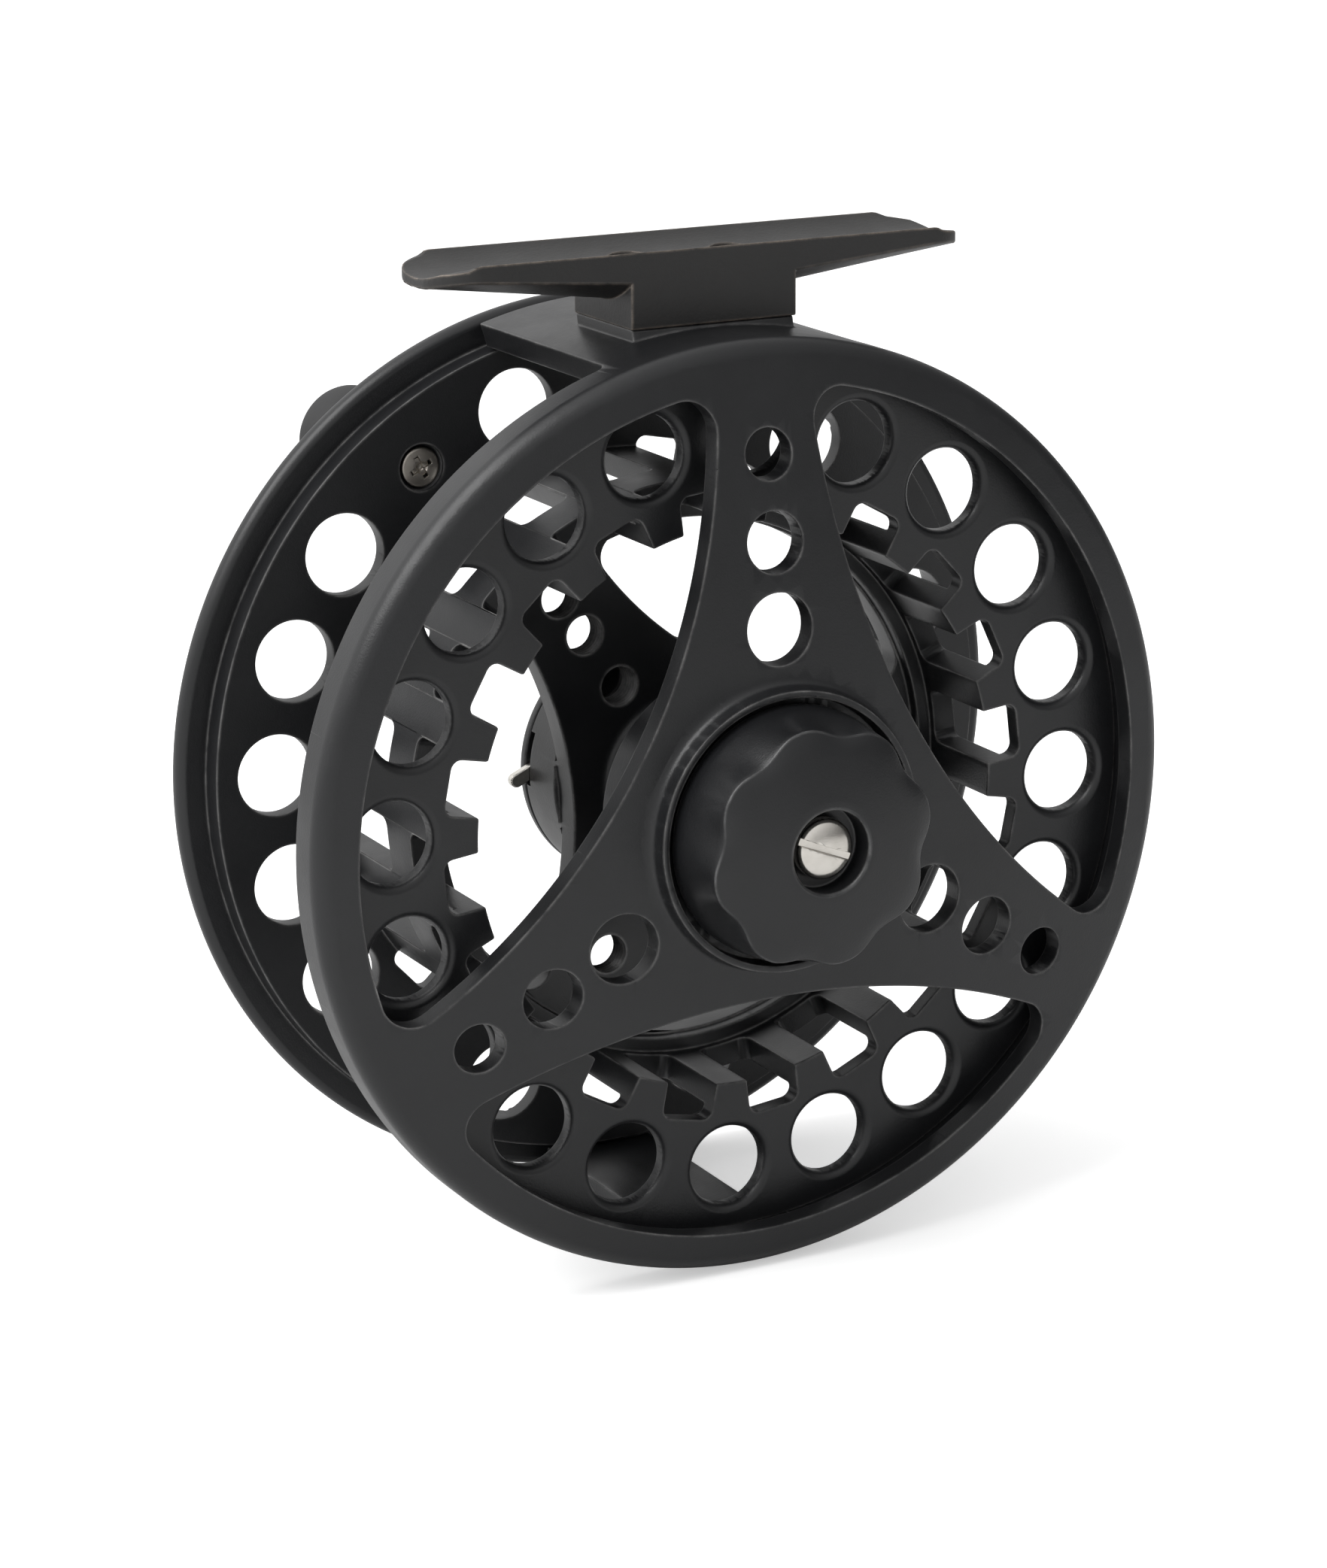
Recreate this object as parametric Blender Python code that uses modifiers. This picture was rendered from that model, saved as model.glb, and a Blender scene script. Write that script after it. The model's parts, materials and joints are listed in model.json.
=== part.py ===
"""Large-arbor fly reel: a one-sided frame and foot, a spool on a spindle, a disc drag and its knob.

Every size is in millimetres and measured from the spindle: radii from its axis, and "y" along it, towards
the handle. The drag knob is on the -Y side and the foot is up (+Z). The whole reel is then placed so that
the middle of the foot's seat is the world origin. Angles are in degrees, turning from +X towards +Z.
"""

from math import atan2, cos, degrees, pi, radians, sin, sqrt

import bmesh
import bpy
from mathutils import Matrix, Vector

UNIT = 0.001
GAP = 0.3  # space left between pieces that touch or are pressed together
WELD = 0.000001

# driving sizes
RING_R = 53.2  # outside of the frame ring, and of the palming rim
ARM_T = 2.7  # thickness of the frame's arms
FOOT_Y = 20.6  # middle of the foot
SEAT_Z = 60.3  # bottom of the foot's trough
SPOOL_TURN = 15.8  # angle of the first flange hole
FLANGE_HOLES = 20
HANDLE_HOLE = 6  # the hole that the handle takes
HANDLE_ANGLE = SPOOL_TURN + HANDLE_HOLE * 360 / FLANGE_HOLES

# frame
BORE_R = 50.3  # inside of the bridges
RING_BORE_R = 49.75  # inside of the ring, close round the near flange
WINDOW_R = 48.5
RING_END_Y = 8.6
BRIDGE_END_Y = 41.0
ARM_ANGLES = (90, 210, 330)
BRIDGES = ((90, 17.0), (-92, 7.8))  # middle and half width of each bridge
DRUM_R = 15.6
DRUM_BORE_R = 13.0
DRUM_END_Y = 11.4
RING_GROOVE_R = 13.9
RING_GROOVE_Y = (9.85, 10.75)
ARM_HOLES = ((41.1, 2.8), (31.7, 3.4), (22.2, 4.0))  # distance from the spindle and radius
WALL_FRONT_Y = -1.5
WALL_BACK_Y = 1.5
STUD_R = 2.4
BEARING_R = 5.1
DISC_R = 12.4
DISC_BORE_R = 5.0

# drag knob
KNOB_R = 14.26
KNOB_BACK_Y = -2.3
KNOB_RECESS_R = 4.64
KNOB_RECESS_Y = -9.4
KNOB_TURN = -12  # angle of the knob's first scoop, and of the slot in its screw
KNOB_SCOOPS = 8

# spool
FLANGE_R = 49.3
FLANGE_Y = 7.9  # near face of the near flange
FLANGE_T = 2.2
WEB_Y = 39.9  # near face of the far flange
RIM_Y = 43.0  # near face of the palming rim
RIM_END_Y = 45.3
RIM_STEP_R = 49.8
ARBOR_R = 35.2
ARBOR_BORE_R = 32.3
BAND_R = 30.6  # inside of the band round the middle of the arbor
BAND_Y = (20.6, 25.4)
HOLE_PITCH_R = 42.4
HOLE_R = 4.7
SLOT_WIDTH = 6.2
SLOT_R = 36.4
SPIDER_Y = 22.0
SPIDER_END_Y = 25.4
HUB_R = 8.6
HUB_Y = 13.0
HUB_BORE_R = 5.5
CAP_R = 14.5
CAP_SEAM_Y = 33.1
CAP_END_Y = 34.5
CAP_BORE_R = 3.6
POCKET_R = 13.2
POCKET_Y = 29.5
CAP_SCREW_R = 12.0
CAP_SCREW_ANGLES = (100, 220, 340)

# spindle and its release: the lever turns on its pivot and its drive pin slides the latch plate
SPINDLE_R = 3.0
SPINDLE_END_Y = 32.9
LATCH_Y = (31.1, 31.9)
LEVER_Y = (32.2, 33.0)
LEVER_PIVOT = (-10.5, 4.8)
LEVER_ANGLE = 225.0
LEVER_SWING = 20.0
LEVER_REACH = 8.6
LEVER_HALF = 0.8
PIVOT_HEAD_R = 1.35
DRIVE_PIN = (-9.0, 2.8)
LATCH_TRAVEL = 0.75

# handle
POST_R = 1.9

# foot
FOOT_SCREW_X = (-6.3, 6.3)
FOOT_HALF_LENGTH = 32.8
FOOT_HALF_WIDTH = 7.0
FOOT_TOP_Z = 62.1
PEDESTAL_HALF = 10.2
FOOT_BASE_Z = 53.6
SEAT_HALF = 2.0  # half width of the flat along the trough's bottom
TROUGH_R = 13.0

# numbers of sides of the turned shapes, the holes and the screws
ROUND = 40
SMALL_ROUND = 24
HOLE_ROUND = 10

SPINDLE = Vector((0, -FOOT_Y, -SEAT_Z)) * UNIT
ALONG_Y = (-pi / 2, 0, 0)  # turns local +Z to world +Y
ALONG_X = (-pi / 2, 0, -pi / 2)  # turns local +Z to world +X, with local +Y down
UPRIGHT = (0, 0, 0)

BLACK = ("black_anodised", (0.012, 0.0125, 0.014), 0.42, 0.35)
FOOT_BLACK = ("black_paint", (0.016, 0.0155, 0.0155), 0.45, 0.2)
KNOB_BLACK = ("black_knob", (0.02, 0.02, 0.022), 0.4, 0.1)
NICKEL = ("nickel", (0.62, 0.59, 0.54), 0.22, 1.0)
STEEL = ("steel", (0.45, 0.45, 0.46), 0.3, 1.0)
CARBON = ("carbon_disc", (0.03, 0.03, 0.032), 0.7, 0.0)
HANDLE_BLACK = ("handle_black", (0.022, 0.022, 0.024), 0.5, 0.0)


def clear_scene():
    for obj in list(bpy.data.objects):
        bpy.data.objects.remove(obj)


def collection(name):
    made = bpy.data.collections.new(name)
    bpy.context.scene.collection.children.link(made)
    return made


def paint(obj, look):
    """Gives the piece a material of its own."""
    finish, colour, roughness, metallic = look
    material = bpy.data.materials.new(obj.name + "_" + finish)
    material.use_nodes = True
    shader = material.node_tree.nodes["Principled BSDF"]
    shader.inputs["Base Color"].default_value = (*colour, 1)
    shader.inputs["Roughness"].default_value = roughness
    shader.inputs["Metallic"].default_value = metallic
    obj.data.materials.clear()
    obj.data.materials.append(material)


def place(name, mesh, look, spot=(0, 0), upright=False):
    """Links a mesh whose axis is its local Z, at world (x, z) = spot, or (x, y) = spot when it is upright.

    No look makes it a cutter.
    """
    obj = bpy.data.objects.new(name, mesh)
    offset = Vector((spot[0], spot[1], 0)) if upright else Vector((spot[0], 0, spot[1]))
    obj.location = SPINDLE + offset * UNIT
    obj.rotation_euler = UPRIGHT if upright else ALONG_Y
    if look is None:
        CUTTERS.objects.link(obj)
        obj.hide_render = True
        obj.display_type = "WIRE"
    else:
        REEL.objects.link(obj)
        paint(obj, look)
    return obj


def turned(name, profile, look, steps=ROUND, spot=(0, 0), ring=True, upright=False):
    """A shape turned about the spindle's direction, or about the vertical when it is upright.

    The profile's (radius, distance) points run down the outer side from the far end; a ring's profile
    closes on itself, and a solid's starts and ends on the axis.
    """
    mesh = bpy.data.meshes.new(name)
    count = len(profile)
    edges = [(i, (i + 1) % count) for i in range(count if ring else count - 1)]
    mesh.from_pydata([(r * UNIT, 0, y * UNIT) for r, y in profile], edges, [])
    obj = place(name, mesh, look, spot, upright)
    screw = obj.modifiers.new("Turn", "SCREW")
    screw.steps = screw.render_steps = steps
    screw.use_merge_vertices = True
    screw.merge_threshold = WELD
    return obj


def tube(name, outer_r, inner_r, y0, y1, look):
    profile = [(outer_r, y1), (outer_r, y0), (inner_r, y0), (inner_r, y1)]
    return turned(name, profile, look, SMALL_ROUND)


def solid_curve(name, curve, look, turn=ALONG_Y, centre=(0, 0, 0)):
    """Turns a curve into a closed mesh, its caps welded to its sides, and places it."""
    guide = bpy.data.objects.new(name + "_guide", curve)
    bpy.context.scene.collection.objects.link(guide)
    guide.rotation_euler = turn
    guide.location = SPINDLE + Vector(centre) * UNIT
    bpy.context.view_layer.update()
    graph = bpy.context.evaluated_depsgraph_get()
    mesh = bpy.data.meshes.new_from_object(guide.evaluated_get(graph))
    shape = bmesh.new()
    shape.from_mesh(mesh)
    bmesh.ops.remove_doubles(shape, verts=shape.verts, dist=WELD)
    bmesh.ops.recalc_face_normals(shape, faces=shape.faces)
    shape.to_mesh(mesh)
    shape.free()
    obj = place(name, mesh, look)
    obj.matrix_world = guide.matrix_world.copy()
    bpy.data.objects.remove(guide)
    return obj


def plate(name, outlines, y0, y1, look, turn=ALONG_Y, centre=None):
    """Flat stock between y0 and y1, from closed outlines of world (x, z) points.

    An outline inside another is a hole.
    """
    curve = bpy.data.curves.new(name, "CURVE")
    curve.dimensions = "2D"
    curve.fill_mode = "BOTH"
    curve.extrude = (y1 - y0) / 2 * UNIT
    for outline in outlines:
        spline = curve.splines.new("POLY")
        spline.points.add(len(outline) - 1)
        spline.use_cyclic_u = True
        for point, (x, z) in zip(spline.points, outline):
            point.co = (x * UNIT, -z * UNIT, 0, 1)
    return solid_curve(name, curve, look, turn, centre or (0, (y0 + y1) / 2, 0))


def cones(name, matrices, radius, length, sides=HOLE_ROUND, end_radius=None):
    """A mesh of round bars along each matrix's Z; a bar tapers when it has an end radius."""
    shape = bmesh.new()
    for matrix in matrices:
        bmesh.ops.create_cone(
            shape,
            cap_ends=True,
            segments=sides,
            radius1=radius * UNIT,
            radius2=(end_radius or radius) * UNIT,
            depth=length * UNIT,
            matrix=matrix,
        )
    mesh = bpy.data.meshes.new(name)
    shape.to_mesh(mesh)
    shape.free()
    return mesh


def drill(name, spots, radius, y0, y1, sides=HOLE_ROUND, end_radius=None):
    """One cutter made of a round bar along the spindle's direction at each (x, z) spot."""
    middles = [Matrix.Translation(Vector((x, -z, (y0 + y1) / 2)) * UNIT) for x, z in spots]
    return place(name, cones(name, middles, radius, y1 - y0, sides, end_radius), None)


def drill_down(name, radius, z0, z1):
    """A cutter made of an upright bar at each of the foot's two screws."""
    middles = [Matrix.Translation(Vector((x, FOOT_Y, (z0 + z1) / 2)) * UNIT) for x in FOOT_SCREW_X]
    return place(name, cones(name, middles, radius, z1 - z0), None, upright=True)


def blocks(name, boxes, bevel=0.0):
    """A cutter of boxes in one mesh.

    Each box is ((x0, x1), (y0, y1), (z0, z1), angle), turned by its angle about the spindle.
    """
    shape = bmesh.new()
    for (x0, x1), (y0, y1), (z0, z1), angle in boxes:
        size = Matrix.Diagonal(Vector((x1 - x0, z1 - z0, y1 - y0, 1)))
        middle = Matrix.Translation(Vector(((x0 + x1) / 2, -(z0 + z1) / 2, (y0 + y1) / 2)))
        turn = Matrix.Rotation(-radians(angle), 4, "Z")
        bmesh.ops.create_cube(shape, size=1, matrix=Matrix.Scale(UNIT, 4) @ turn @ middle @ size)
    mesh = bpy.data.meshes.new(name)
    shape.to_mesh(mesh)
    shape.free()
    obj = place(name, mesh, None)
    if bevel:
        soften(obj, bevel, 1)
    return obj


def soften(obj, width, segments):
    bevel = obj.modifiers.new("Soften", "BEVEL")
    bevel.width = width * UNIT
    bevel.segments = segments
    bevel.limit_method = "ANGLE"
    bevel.angle_limit = radians(35)


def combine(obj, other, operation="DIFFERENCE"):
    boolean = obj.modifiers.new(other.name, "BOOLEAN")
    boolean.operation = operation
    boolean.solver = "EXACT"
    boolean.object = other


def cut(obj, *cutters):
    for cutter in cutters:
        combine(obj, cutter)


def polar(radius, angle):
    return (radius * cos(radians(angle)), radius * sin(radians(angle)))


def around(radius, count, first=0.0):
    return [polar(radius, first + 360 * i / count) for i in range(count)]


def arc(centre, radius, start, end, steps):
    """Points on an arc about a world (x, z) centre, both ends included."""
    points = []
    for i in range(steps + 1):
        x, z = polar(radius, start + (end - start) * i / steps)
        points.append((centre[0] + x, centre[1] + z))
    return points


def turn_points(points, angle):
    c, s = cos(radians(angle)), sin(radians(angle))
    return [(x * c - z * s, x * s + z * c) for x, z in points]


def window(outer_r, hub_r, side_r, corner_r, angle):
    """A spider's window: the ring's arc outside, a flatter arc along the arms and hub, and round corners."""
    away = hub_r + side_r
    ring, side = outer_r - corner_r, side_r - corner_r
    u = (away**2 + ring**2 - side**2) / (2 * away)
    v = sqrt(ring**2 - u**2)
    outer_end = degrees(atan2(v, u))
    side_end = degrees(atan2(v, u - away))
    points = arc((0, 0), outer_r, -outer_end, outer_end, 20)
    points += arc((u, v), corner_r, outer_end, side_end, 5)[1:]
    points += arc((away, 0), side_r, side_end, 360 - side_end, 14)[1:]
    points += arc((u, -v), corner_r, -side_end, -outer_end, 5)[1:-1]
    return turn_points(points, angle)


def dome(radius):
    """How far back the frame's front face lies at a radius."""
    return -2.1 + 0.00211 * radius**2


def make_frame():
    """The ring, its three arms, the hub with the drag's drum, and the two bridges, in one machined piece."""
    profile = [(RING_R, BRIDGE_END_Y), (RING_R, 5.3), (RING_R - 0.5, 4.2), (RING_R - 1.6, 3.7)]
    profile += [(r, dome(r)) for r in (WINDOW_R, 38.0, 27.0, 16.9)]
    profile += [(16.1, -2.2), (15.6, -3.8), (15.1, -3.6), (14.9, WALL_FRONT_Y)]
    profile += [(STUD_R + GAP, WALL_FRONT_Y), (STUD_R + GAP, WALL_BACK_Y), (DRUM_BORE_R, WALL_BACK_Y)]
    profile += [(DRUM_BORE_R, RING_GROOVE_Y[0]), (RING_GROOVE_R, RING_GROOVE_Y[0])]
    profile += [(RING_GROOVE_R, RING_GROOVE_Y[1]), (DRUM_BORE_R, RING_GROOVE_Y[1])]
    profile += [(DRUM_BORE_R, DRUM_END_Y), (DRUM_R, DRUM_END_Y)]
    profile += [(r, dome(r) + ARM_T) for r in (DRUM_R, 30.0, RING_BORE_R)]
    profile += [(RING_BORE_R, RING_END_Y + GAP), (BORE_R, RING_END_Y + GAP), (BORE_R, BRIDGE_END_Y)]
    frame = turned("frame", profile, BLACK)
    combine(frame, foot_pad(), "UNION")

    windows = [window(WINDOW_R, 19.6, 85.0, 3.4, angle + 180) for angle in ARM_ANGLES]
    cut(frame, plate("arm_windows", windows, -12, 20, None), open_sides())
    for radius, hole_r in ARM_HOLES:
        spots = [polar(radius, angle) for angle in ARM_ANGLES]
        cut(frame, drill(f"arm_holes_{radius:.0f}", spots, hole_r, -8, 20, 16))
    keys = [((-1.8, 1.8), (2.0, 9.0), (12.0, 14.8), angle) for angle in ARM_ANGLES]
    cut(frame, blocks("plate_keyways", keys), drill("plunger_bore", [PLUNGER], 1.3, -4, 1.2))
    cut(frame, drill_down("bridge_screw_holes", 1.5, 44, 56))


def foot_pad():
    """The raised flat on the top bridge that the foot is screwed to."""
    return blocks("foot_pad", [((-11.2, 11.2), (FOOT_Y - 8, FOOT_Y + 8), (51.0, FOOT_BASE_Z - GAP), 0)])


def open_sides():
    """Cuts the tube behind the ring away, except at the bridges, with a fillet in each corner."""
    (top, top_half), (low, low_half) = BRIDGES
    sides = []
    for start, end in ((top + top_half, low - low_half + 360), (low + low_half, top - top_half)):
        sides.append(arc((0, 0), 62, start, end, 20) + arc((0, 0), 30, end, start, 8))
    cutter = plate("open_sides", sides, RING_END_Y, BRIDGE_END_Y + 20, None)
    soften(cutter, 4.0, 3)
    return cutter


def make_foot():
    """The rod seat foot: a trough with thin ramped ends, on a pedestal."""
    half = [(PEDESTAL_HALF, FOOT_BASE_Z), (PEDESTAL_HALF, 58.3), (FOOT_HALF_LENGTH, SEAT_Z - 0.9)]
    half += [(FOOT_HALF_LENGTH, SEAT_Z + 0.5), (28.6, FOOT_TOP_Z)]
    side = half + [(-x, z) for x, z in reversed(half)]
    foot = plate("foot", [side], FOOT_Y - FOOT_HALF_WIDTH, FOOT_Y + FOOT_HALF_WIDTH, FOOT_BLACK)

    centre_z = SEAT_Z + sqrt(TROUGH_R**2 - SEAT_HALF**2)
    half = [(y, centre_z - sqrt(TROUGH_R**2 - y**2)) for y in (SEAT_HALF, 3.4, 4.8, 6.2, 7.6)]
    above = [(7.6, 70), (-7.6, 70)]
    outline = [(-y, z) for y, z in reversed(half)] + half + above
    cut(foot, plate("trough", [outline], -40, 40, None, ALONG_X, (0, FOOT_Y, 0)))

    corner = 6.4
    ends = []
    for x_side in (-1, 1):
        for y_side in (-1, 1):
            x = x_side * (FOOT_HALF_LENGTH - corner)
            y = y_side * (FOOT_HALF_WIDTH - corner)
            quarter = arc((0, 0), corner, 0, 90, 5)
            outline = [(x + x_side * u, y + y_side * v) for u, v in quarter]
            ends.append(outline + [(x, y_side * 12), (x_side * 40, y_side * 12), (x_side * 40, y)])
    cut(foot, plate("round_ends", ends, -10, 10, None, UPRIGHT, (0, FOOT_Y, SEAT_Z)))
    cut(foot, drill_down("foot_screw_holes", 1.5, 50, 70), drill_down("foot_screw_recesses", 2.4, 57.6, 70))


def make_foot_screws():
    for name, x in zip(("foot_screw_front", "foot_screw_rear"), FOOT_SCREW_X):
        profile = [(0, 59.4), (1.2, 59.3), (2.0, 58.8), (2.0, 57.9), (1.2, 57.9), (1.2, 50.0), (0, 50.0)]
        screw = turned(name, profile, STEEL, HOLE_ROUND, (x, FOOT_Y), ring=False, upright=True)
        slot = ((x - 3, x + 3), (FOOT_Y - 0.3, FOOT_Y + 0.3), (58.8, 61), 0)
        cut(screw, blocks(name + "_slot", [slot]))


def make_drag():
    """The stack in the frame's drum, from the knob's side to the spool's."""
    washer = [(7.6, 3.2), (7.6, 2.7), (3.4, 2.9), (3.4, 3.4)]
    turned("spring_washer_front", washer, STEEL, SMALL_ROUND)
    turned("spring_washer_rear", [(r, 6.9 - y) for r, y in reversed(washer)], STEEL, SMALL_ROUND)
    pressure = tube("pressure_plate", DRUM_BORE_R - GAP, 3.6, 4.5, 5.3, STEEL)
    tabs = [((-1.4, 1.4), (4.5, 5.3), (11.5, 14.3), angle) for angle in ARM_ANGLES]
    combine(pressure, blocks("plate_tabs", tabs), "UNION")
    tube("friction_disc_front", DISC_R, DISC_BORE_R, 6.2, 6.7, CARBON)
    tube("brake_rotor", DISC_R + 0.1, SPINDLE_R + GAP, 7.0, 7.8, STEEL)
    tube("friction_disc_rear", DISC_R, DISC_BORE_R, 8.1, 8.6, CARBON)
    cover = [(7.6, 12.6), (7.6, 9.6), (DRUM_BORE_R - GAP, 9.6), (DRUM_BORE_R - GAP, 8.9)]
    cover += [(4.2, 8.9), (4.2, 9.4), (BEARING_R + GAP, 9.4), (BEARING_R + GAP, 12.6)]
    turned("drag_cover", cover, BLACK, SMALL_ROUND)
    tube("spindle_bearing", BEARING_R, SPINDLE_R + GAP, 9.7, 12.3, STEEL)
    outer_r, inner_r = RING_GROOVE_R - GAP, DRUM_BORE_R - 1.1
    ring = arc((0, 0), outer_r, 285, 615, 22) + arc((0, 0), inner_r, 615, 285, 22)
    plate("retaining_ring", [ring], RING_GROOVE_Y[0] + 0.15, RING_GROOVE_Y[1] - 0.15, STEEL)


def make_knob():
    """The drag knob, its stud and screw, and the plunger that makes it click."""
    crown = [(r, -12.7 + 0.0108 * r**2) for r in (13.0, 9.0, KNOB_RECESS_R)]
    profile = [(KNOB_R - GAP, KNOB_BACK_Y), (KNOB_R, KNOB_BACK_Y - GAP), (KNOB_R, -5.3), (13.45, -10.4)]
    profile += crown + [(KNOB_RECESS_R, KNOB_RECESS_Y), (STUD_R + GAP, KNOB_RECESS_Y)]
    profile += [(STUD_R + GAP, KNOB_BACK_Y)]
    knob = turned("drag_knob", profile, KNOB_BLACK)
    lean = Matrix.Rotation(radians(20), 4, "Y")
    out = Matrix.Translation(Vector((17.2, 0, -10.9)) * UNIT)
    angles = [KNOB_TURN + 360 * i / KNOB_SCOOPS for i in range(KNOB_SCOOPS)]
    scoops = [Matrix.Rotation(-radians(angle), 4, "Z") @ out @ lean for angle in angles]
    cut(knob, place("knob_scoops", cones("knob_scoops", scoops, 5.0, 16, 16), None))

    stud = [(0, 2.4), (5.0, 2.4), (5.0, 1.8), (STUD_R, 1.8), (STUD_R, KNOB_RECESS_Y + GAP)]
    stud += [(1.6, KNOB_RECESS_Y + GAP), (1.6, -4.5), (0, -4.5)]
    turned("adjuster_stud", stud, STEEL, HOLE_ROUND, ring=False)
    head = [(3.3 * cos(radians(a)), -10.2 - 1.3 * sin(radians(a))) for a in (0, 35, 65)]
    profile = [(0, -5.0), (1.3, -5.0), (1.3, -9.7), (3.3, -9.7)] + head + [(0, -11.5)]
    screw = turned("knob_screw", profile, NICKEL, SMALL_ROUND, ring=False)
    cut(screw, blocks("knob_screw_slot", [((-5, 5), (-13, -10.7), (-0.45, 0.45), KNOB_TURN)]))
    plunger = [(0, 0.9), (1.0, 0.9), (1.0, -1.2), (0.7, -1.8), (0, -2.0)]
    turned("click_plunger", plunger, STEEL, HOLE_ROUND, PLUNGER, ring=False)


def make_spindle():
    """The shaft that the spool slides on, with the groove that the latch drops into."""
    groove_y0, groove_y1 = LATCH_Y[0] - GAP, LATCH_Y[1] + GAP
    profile = [(0, SPINDLE_END_Y), (SPINDLE_R - 0.6, SPINDLE_END_Y), (SPINDLE_R, SPINDLE_END_Y - 0.5)]
    profile += [(SPINDLE_R, groove_y1), (2.3, groove_y1), (2.3, groove_y0), (SPINDLE_R, groove_y0)]
    profile += [(SPINDLE_R, 4.8), (0, 4.8)]
    turned("spindle", profile, STEEL, SMALL_ROUND, ring=False)


def spool_profile():
    web_back, flange_back = WEB_Y + FLANGE_T, FLANGE_Y + FLANGE_T
    rim = [(RIM_STEP_R - 2.2, RIM_END_Y), (RING_R - 0.7, RIM_END_Y), (RING_R, RIM_END_Y - 0.7)]
    rim += [(RING_R, RIM_Y + 0.9), (RING_R - 0.9, RIM_Y), (RIM_STEP_R, RIM_Y), (RIM_STEP_R, WEB_Y)]
    bed = [(ARBOR_R, WEB_Y), (ARBOR_R, flange_back), (FLANGE_R, flange_back), (FLANGE_R, FLANGE_Y)]
    near = [(ARBOR_BORE_R, FLANGE_Y), (ARBOR_BORE_R, BAND_Y[0]), (BAND_R, BAND_Y[0])]
    hub = [(BAND_R, SPIDER_Y), (10.4, SPIDER_Y), (9.2, SPIDER_Y - 1.2), (HUB_R, SPIDER_Y - 4)]
    hub += [(HUB_R, HUB_Y), (HUB_BORE_R, HUB_Y), (HUB_BORE_R, POCKET_Y)]
    hub += [(POCKET_R, POCKET_Y), (POCKET_R, CAP_SEAM_Y)]
    hub += [(CAP_R, CAP_SEAM_Y), (CAP_R, SPIDER_END_Y), (BAND_R, SPIDER_END_Y)]
    far = [(ARBOR_BORE_R, BAND_Y[1]), (ARBOR_BORE_R, web_back), (RIM_STEP_R - 3.4, web_back)]
    return rim + bed + near + hub + far


def make_spool():
    """The drilled flanges, the slotted arbor with its spider and hub, and the palming rim, in one piece."""
    spool = turned("spool", spool_profile(), BLACK)
    arms = [HANDLE_ANGLE, HANDLE_ANGLE + 120, HANDLE_ANGLE + 240]
    openings = [window(BAND_R - 0.4, 12.1, 32.0, 2.4, angle + 60) for angle in arms]
    cut(spool, plate("spider_windows", openings, SPIDER_Y - 3, SPIDER_END_Y + 0.2, None))
    spots = around(HOLE_PITCH_R, FLANGE_HOLES, SPOOL_TURN)
    cut(spool, drill("near_holes", spots, HOLE_R, FLANGE_Y - 2, FLANGE_Y + 5))
    spots.remove(HANDLE)
    cut(spool, drill("far_holes", spots, HOLE_R, WEB_Y - 2, WEB_Y + 6))
    half = SLOT_WIDTH / 2
    middles = [SPOOL_TURN - 90 + 360 * (i + 0.5) / FLANGE_HOLES for i in range(FLANGE_HOLES)]
    for name, y0, y1 in (("near_slots", FLANGE_Y - 4, 19.6), ("far_slots", 26.4, WEB_Y + 8)):
        cut(spool, blocks(name, [((-half, half), (y0, y1), (27.0, SLOT_R), a) for a in middles], 1.0))
    spots = [polar(radius, angle) for radius in (14.2, 21.2, 27.6) for angle in arms]
    cut(spool, drill("spider_holes", spots, 2.4, SPIDER_Y - 2, SPIDER_END_Y + 2))
    combine(spool, drill("screw_posts", CAP_SCREWS, 1.7, POCKET_Y - 1, CAP_SEAM_Y - 0.1), "UNION")
    cut(spool, drill("cap_screw_taps", CAP_SCREWS, 0.9, POCKET_Y + 0.5, CAP_SEAM_Y + 2), lever_notch())
    cut(spool, drill("handle_countersink", [HANDLE], 4.4, WEB_Y - 1, WEB_Y + 1.8, HOLE_ROUND, 1.2))
    cut(spool, drill("handle_hole", [HANDLE], 1.6, WEB_Y, WEB_Y + 6))


def lever_notch():
    """The opening in the hub's rear edge that the lever reaches out through, over its whole swing."""
    x, z = LEVER_PIVOT
    wide = LEVER_HALF + GAP
    outline = []
    for angle, side, reach in (
        (LEVER_ANGLE - LEVER_SWING, -90, (0, 9)),
        (LEVER_ANGLE, 90, (9, 0)),
    ):
        aside = polar(wide, angle + side)
        for distance in reach:
            along = polar(distance, angle)
            outline.append((x + aside[0] + along[0], z + aside[1] + along[1]))
    return plate("lever_notch", [outline], LEVER_Y[0] - GAP, CAP_SEAM_Y + 2, None)


def make_bearings():
    tube("clutch_bearing", HUB_BORE_R - GAP, SPINDLE_R + GAP, 14.5, 22.5, STEEL)
    tube("spool_bearing", HUB_BORE_R - GAP, SPINDLE_R + GAP, 24.6, 28.4, STEEL)


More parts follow.
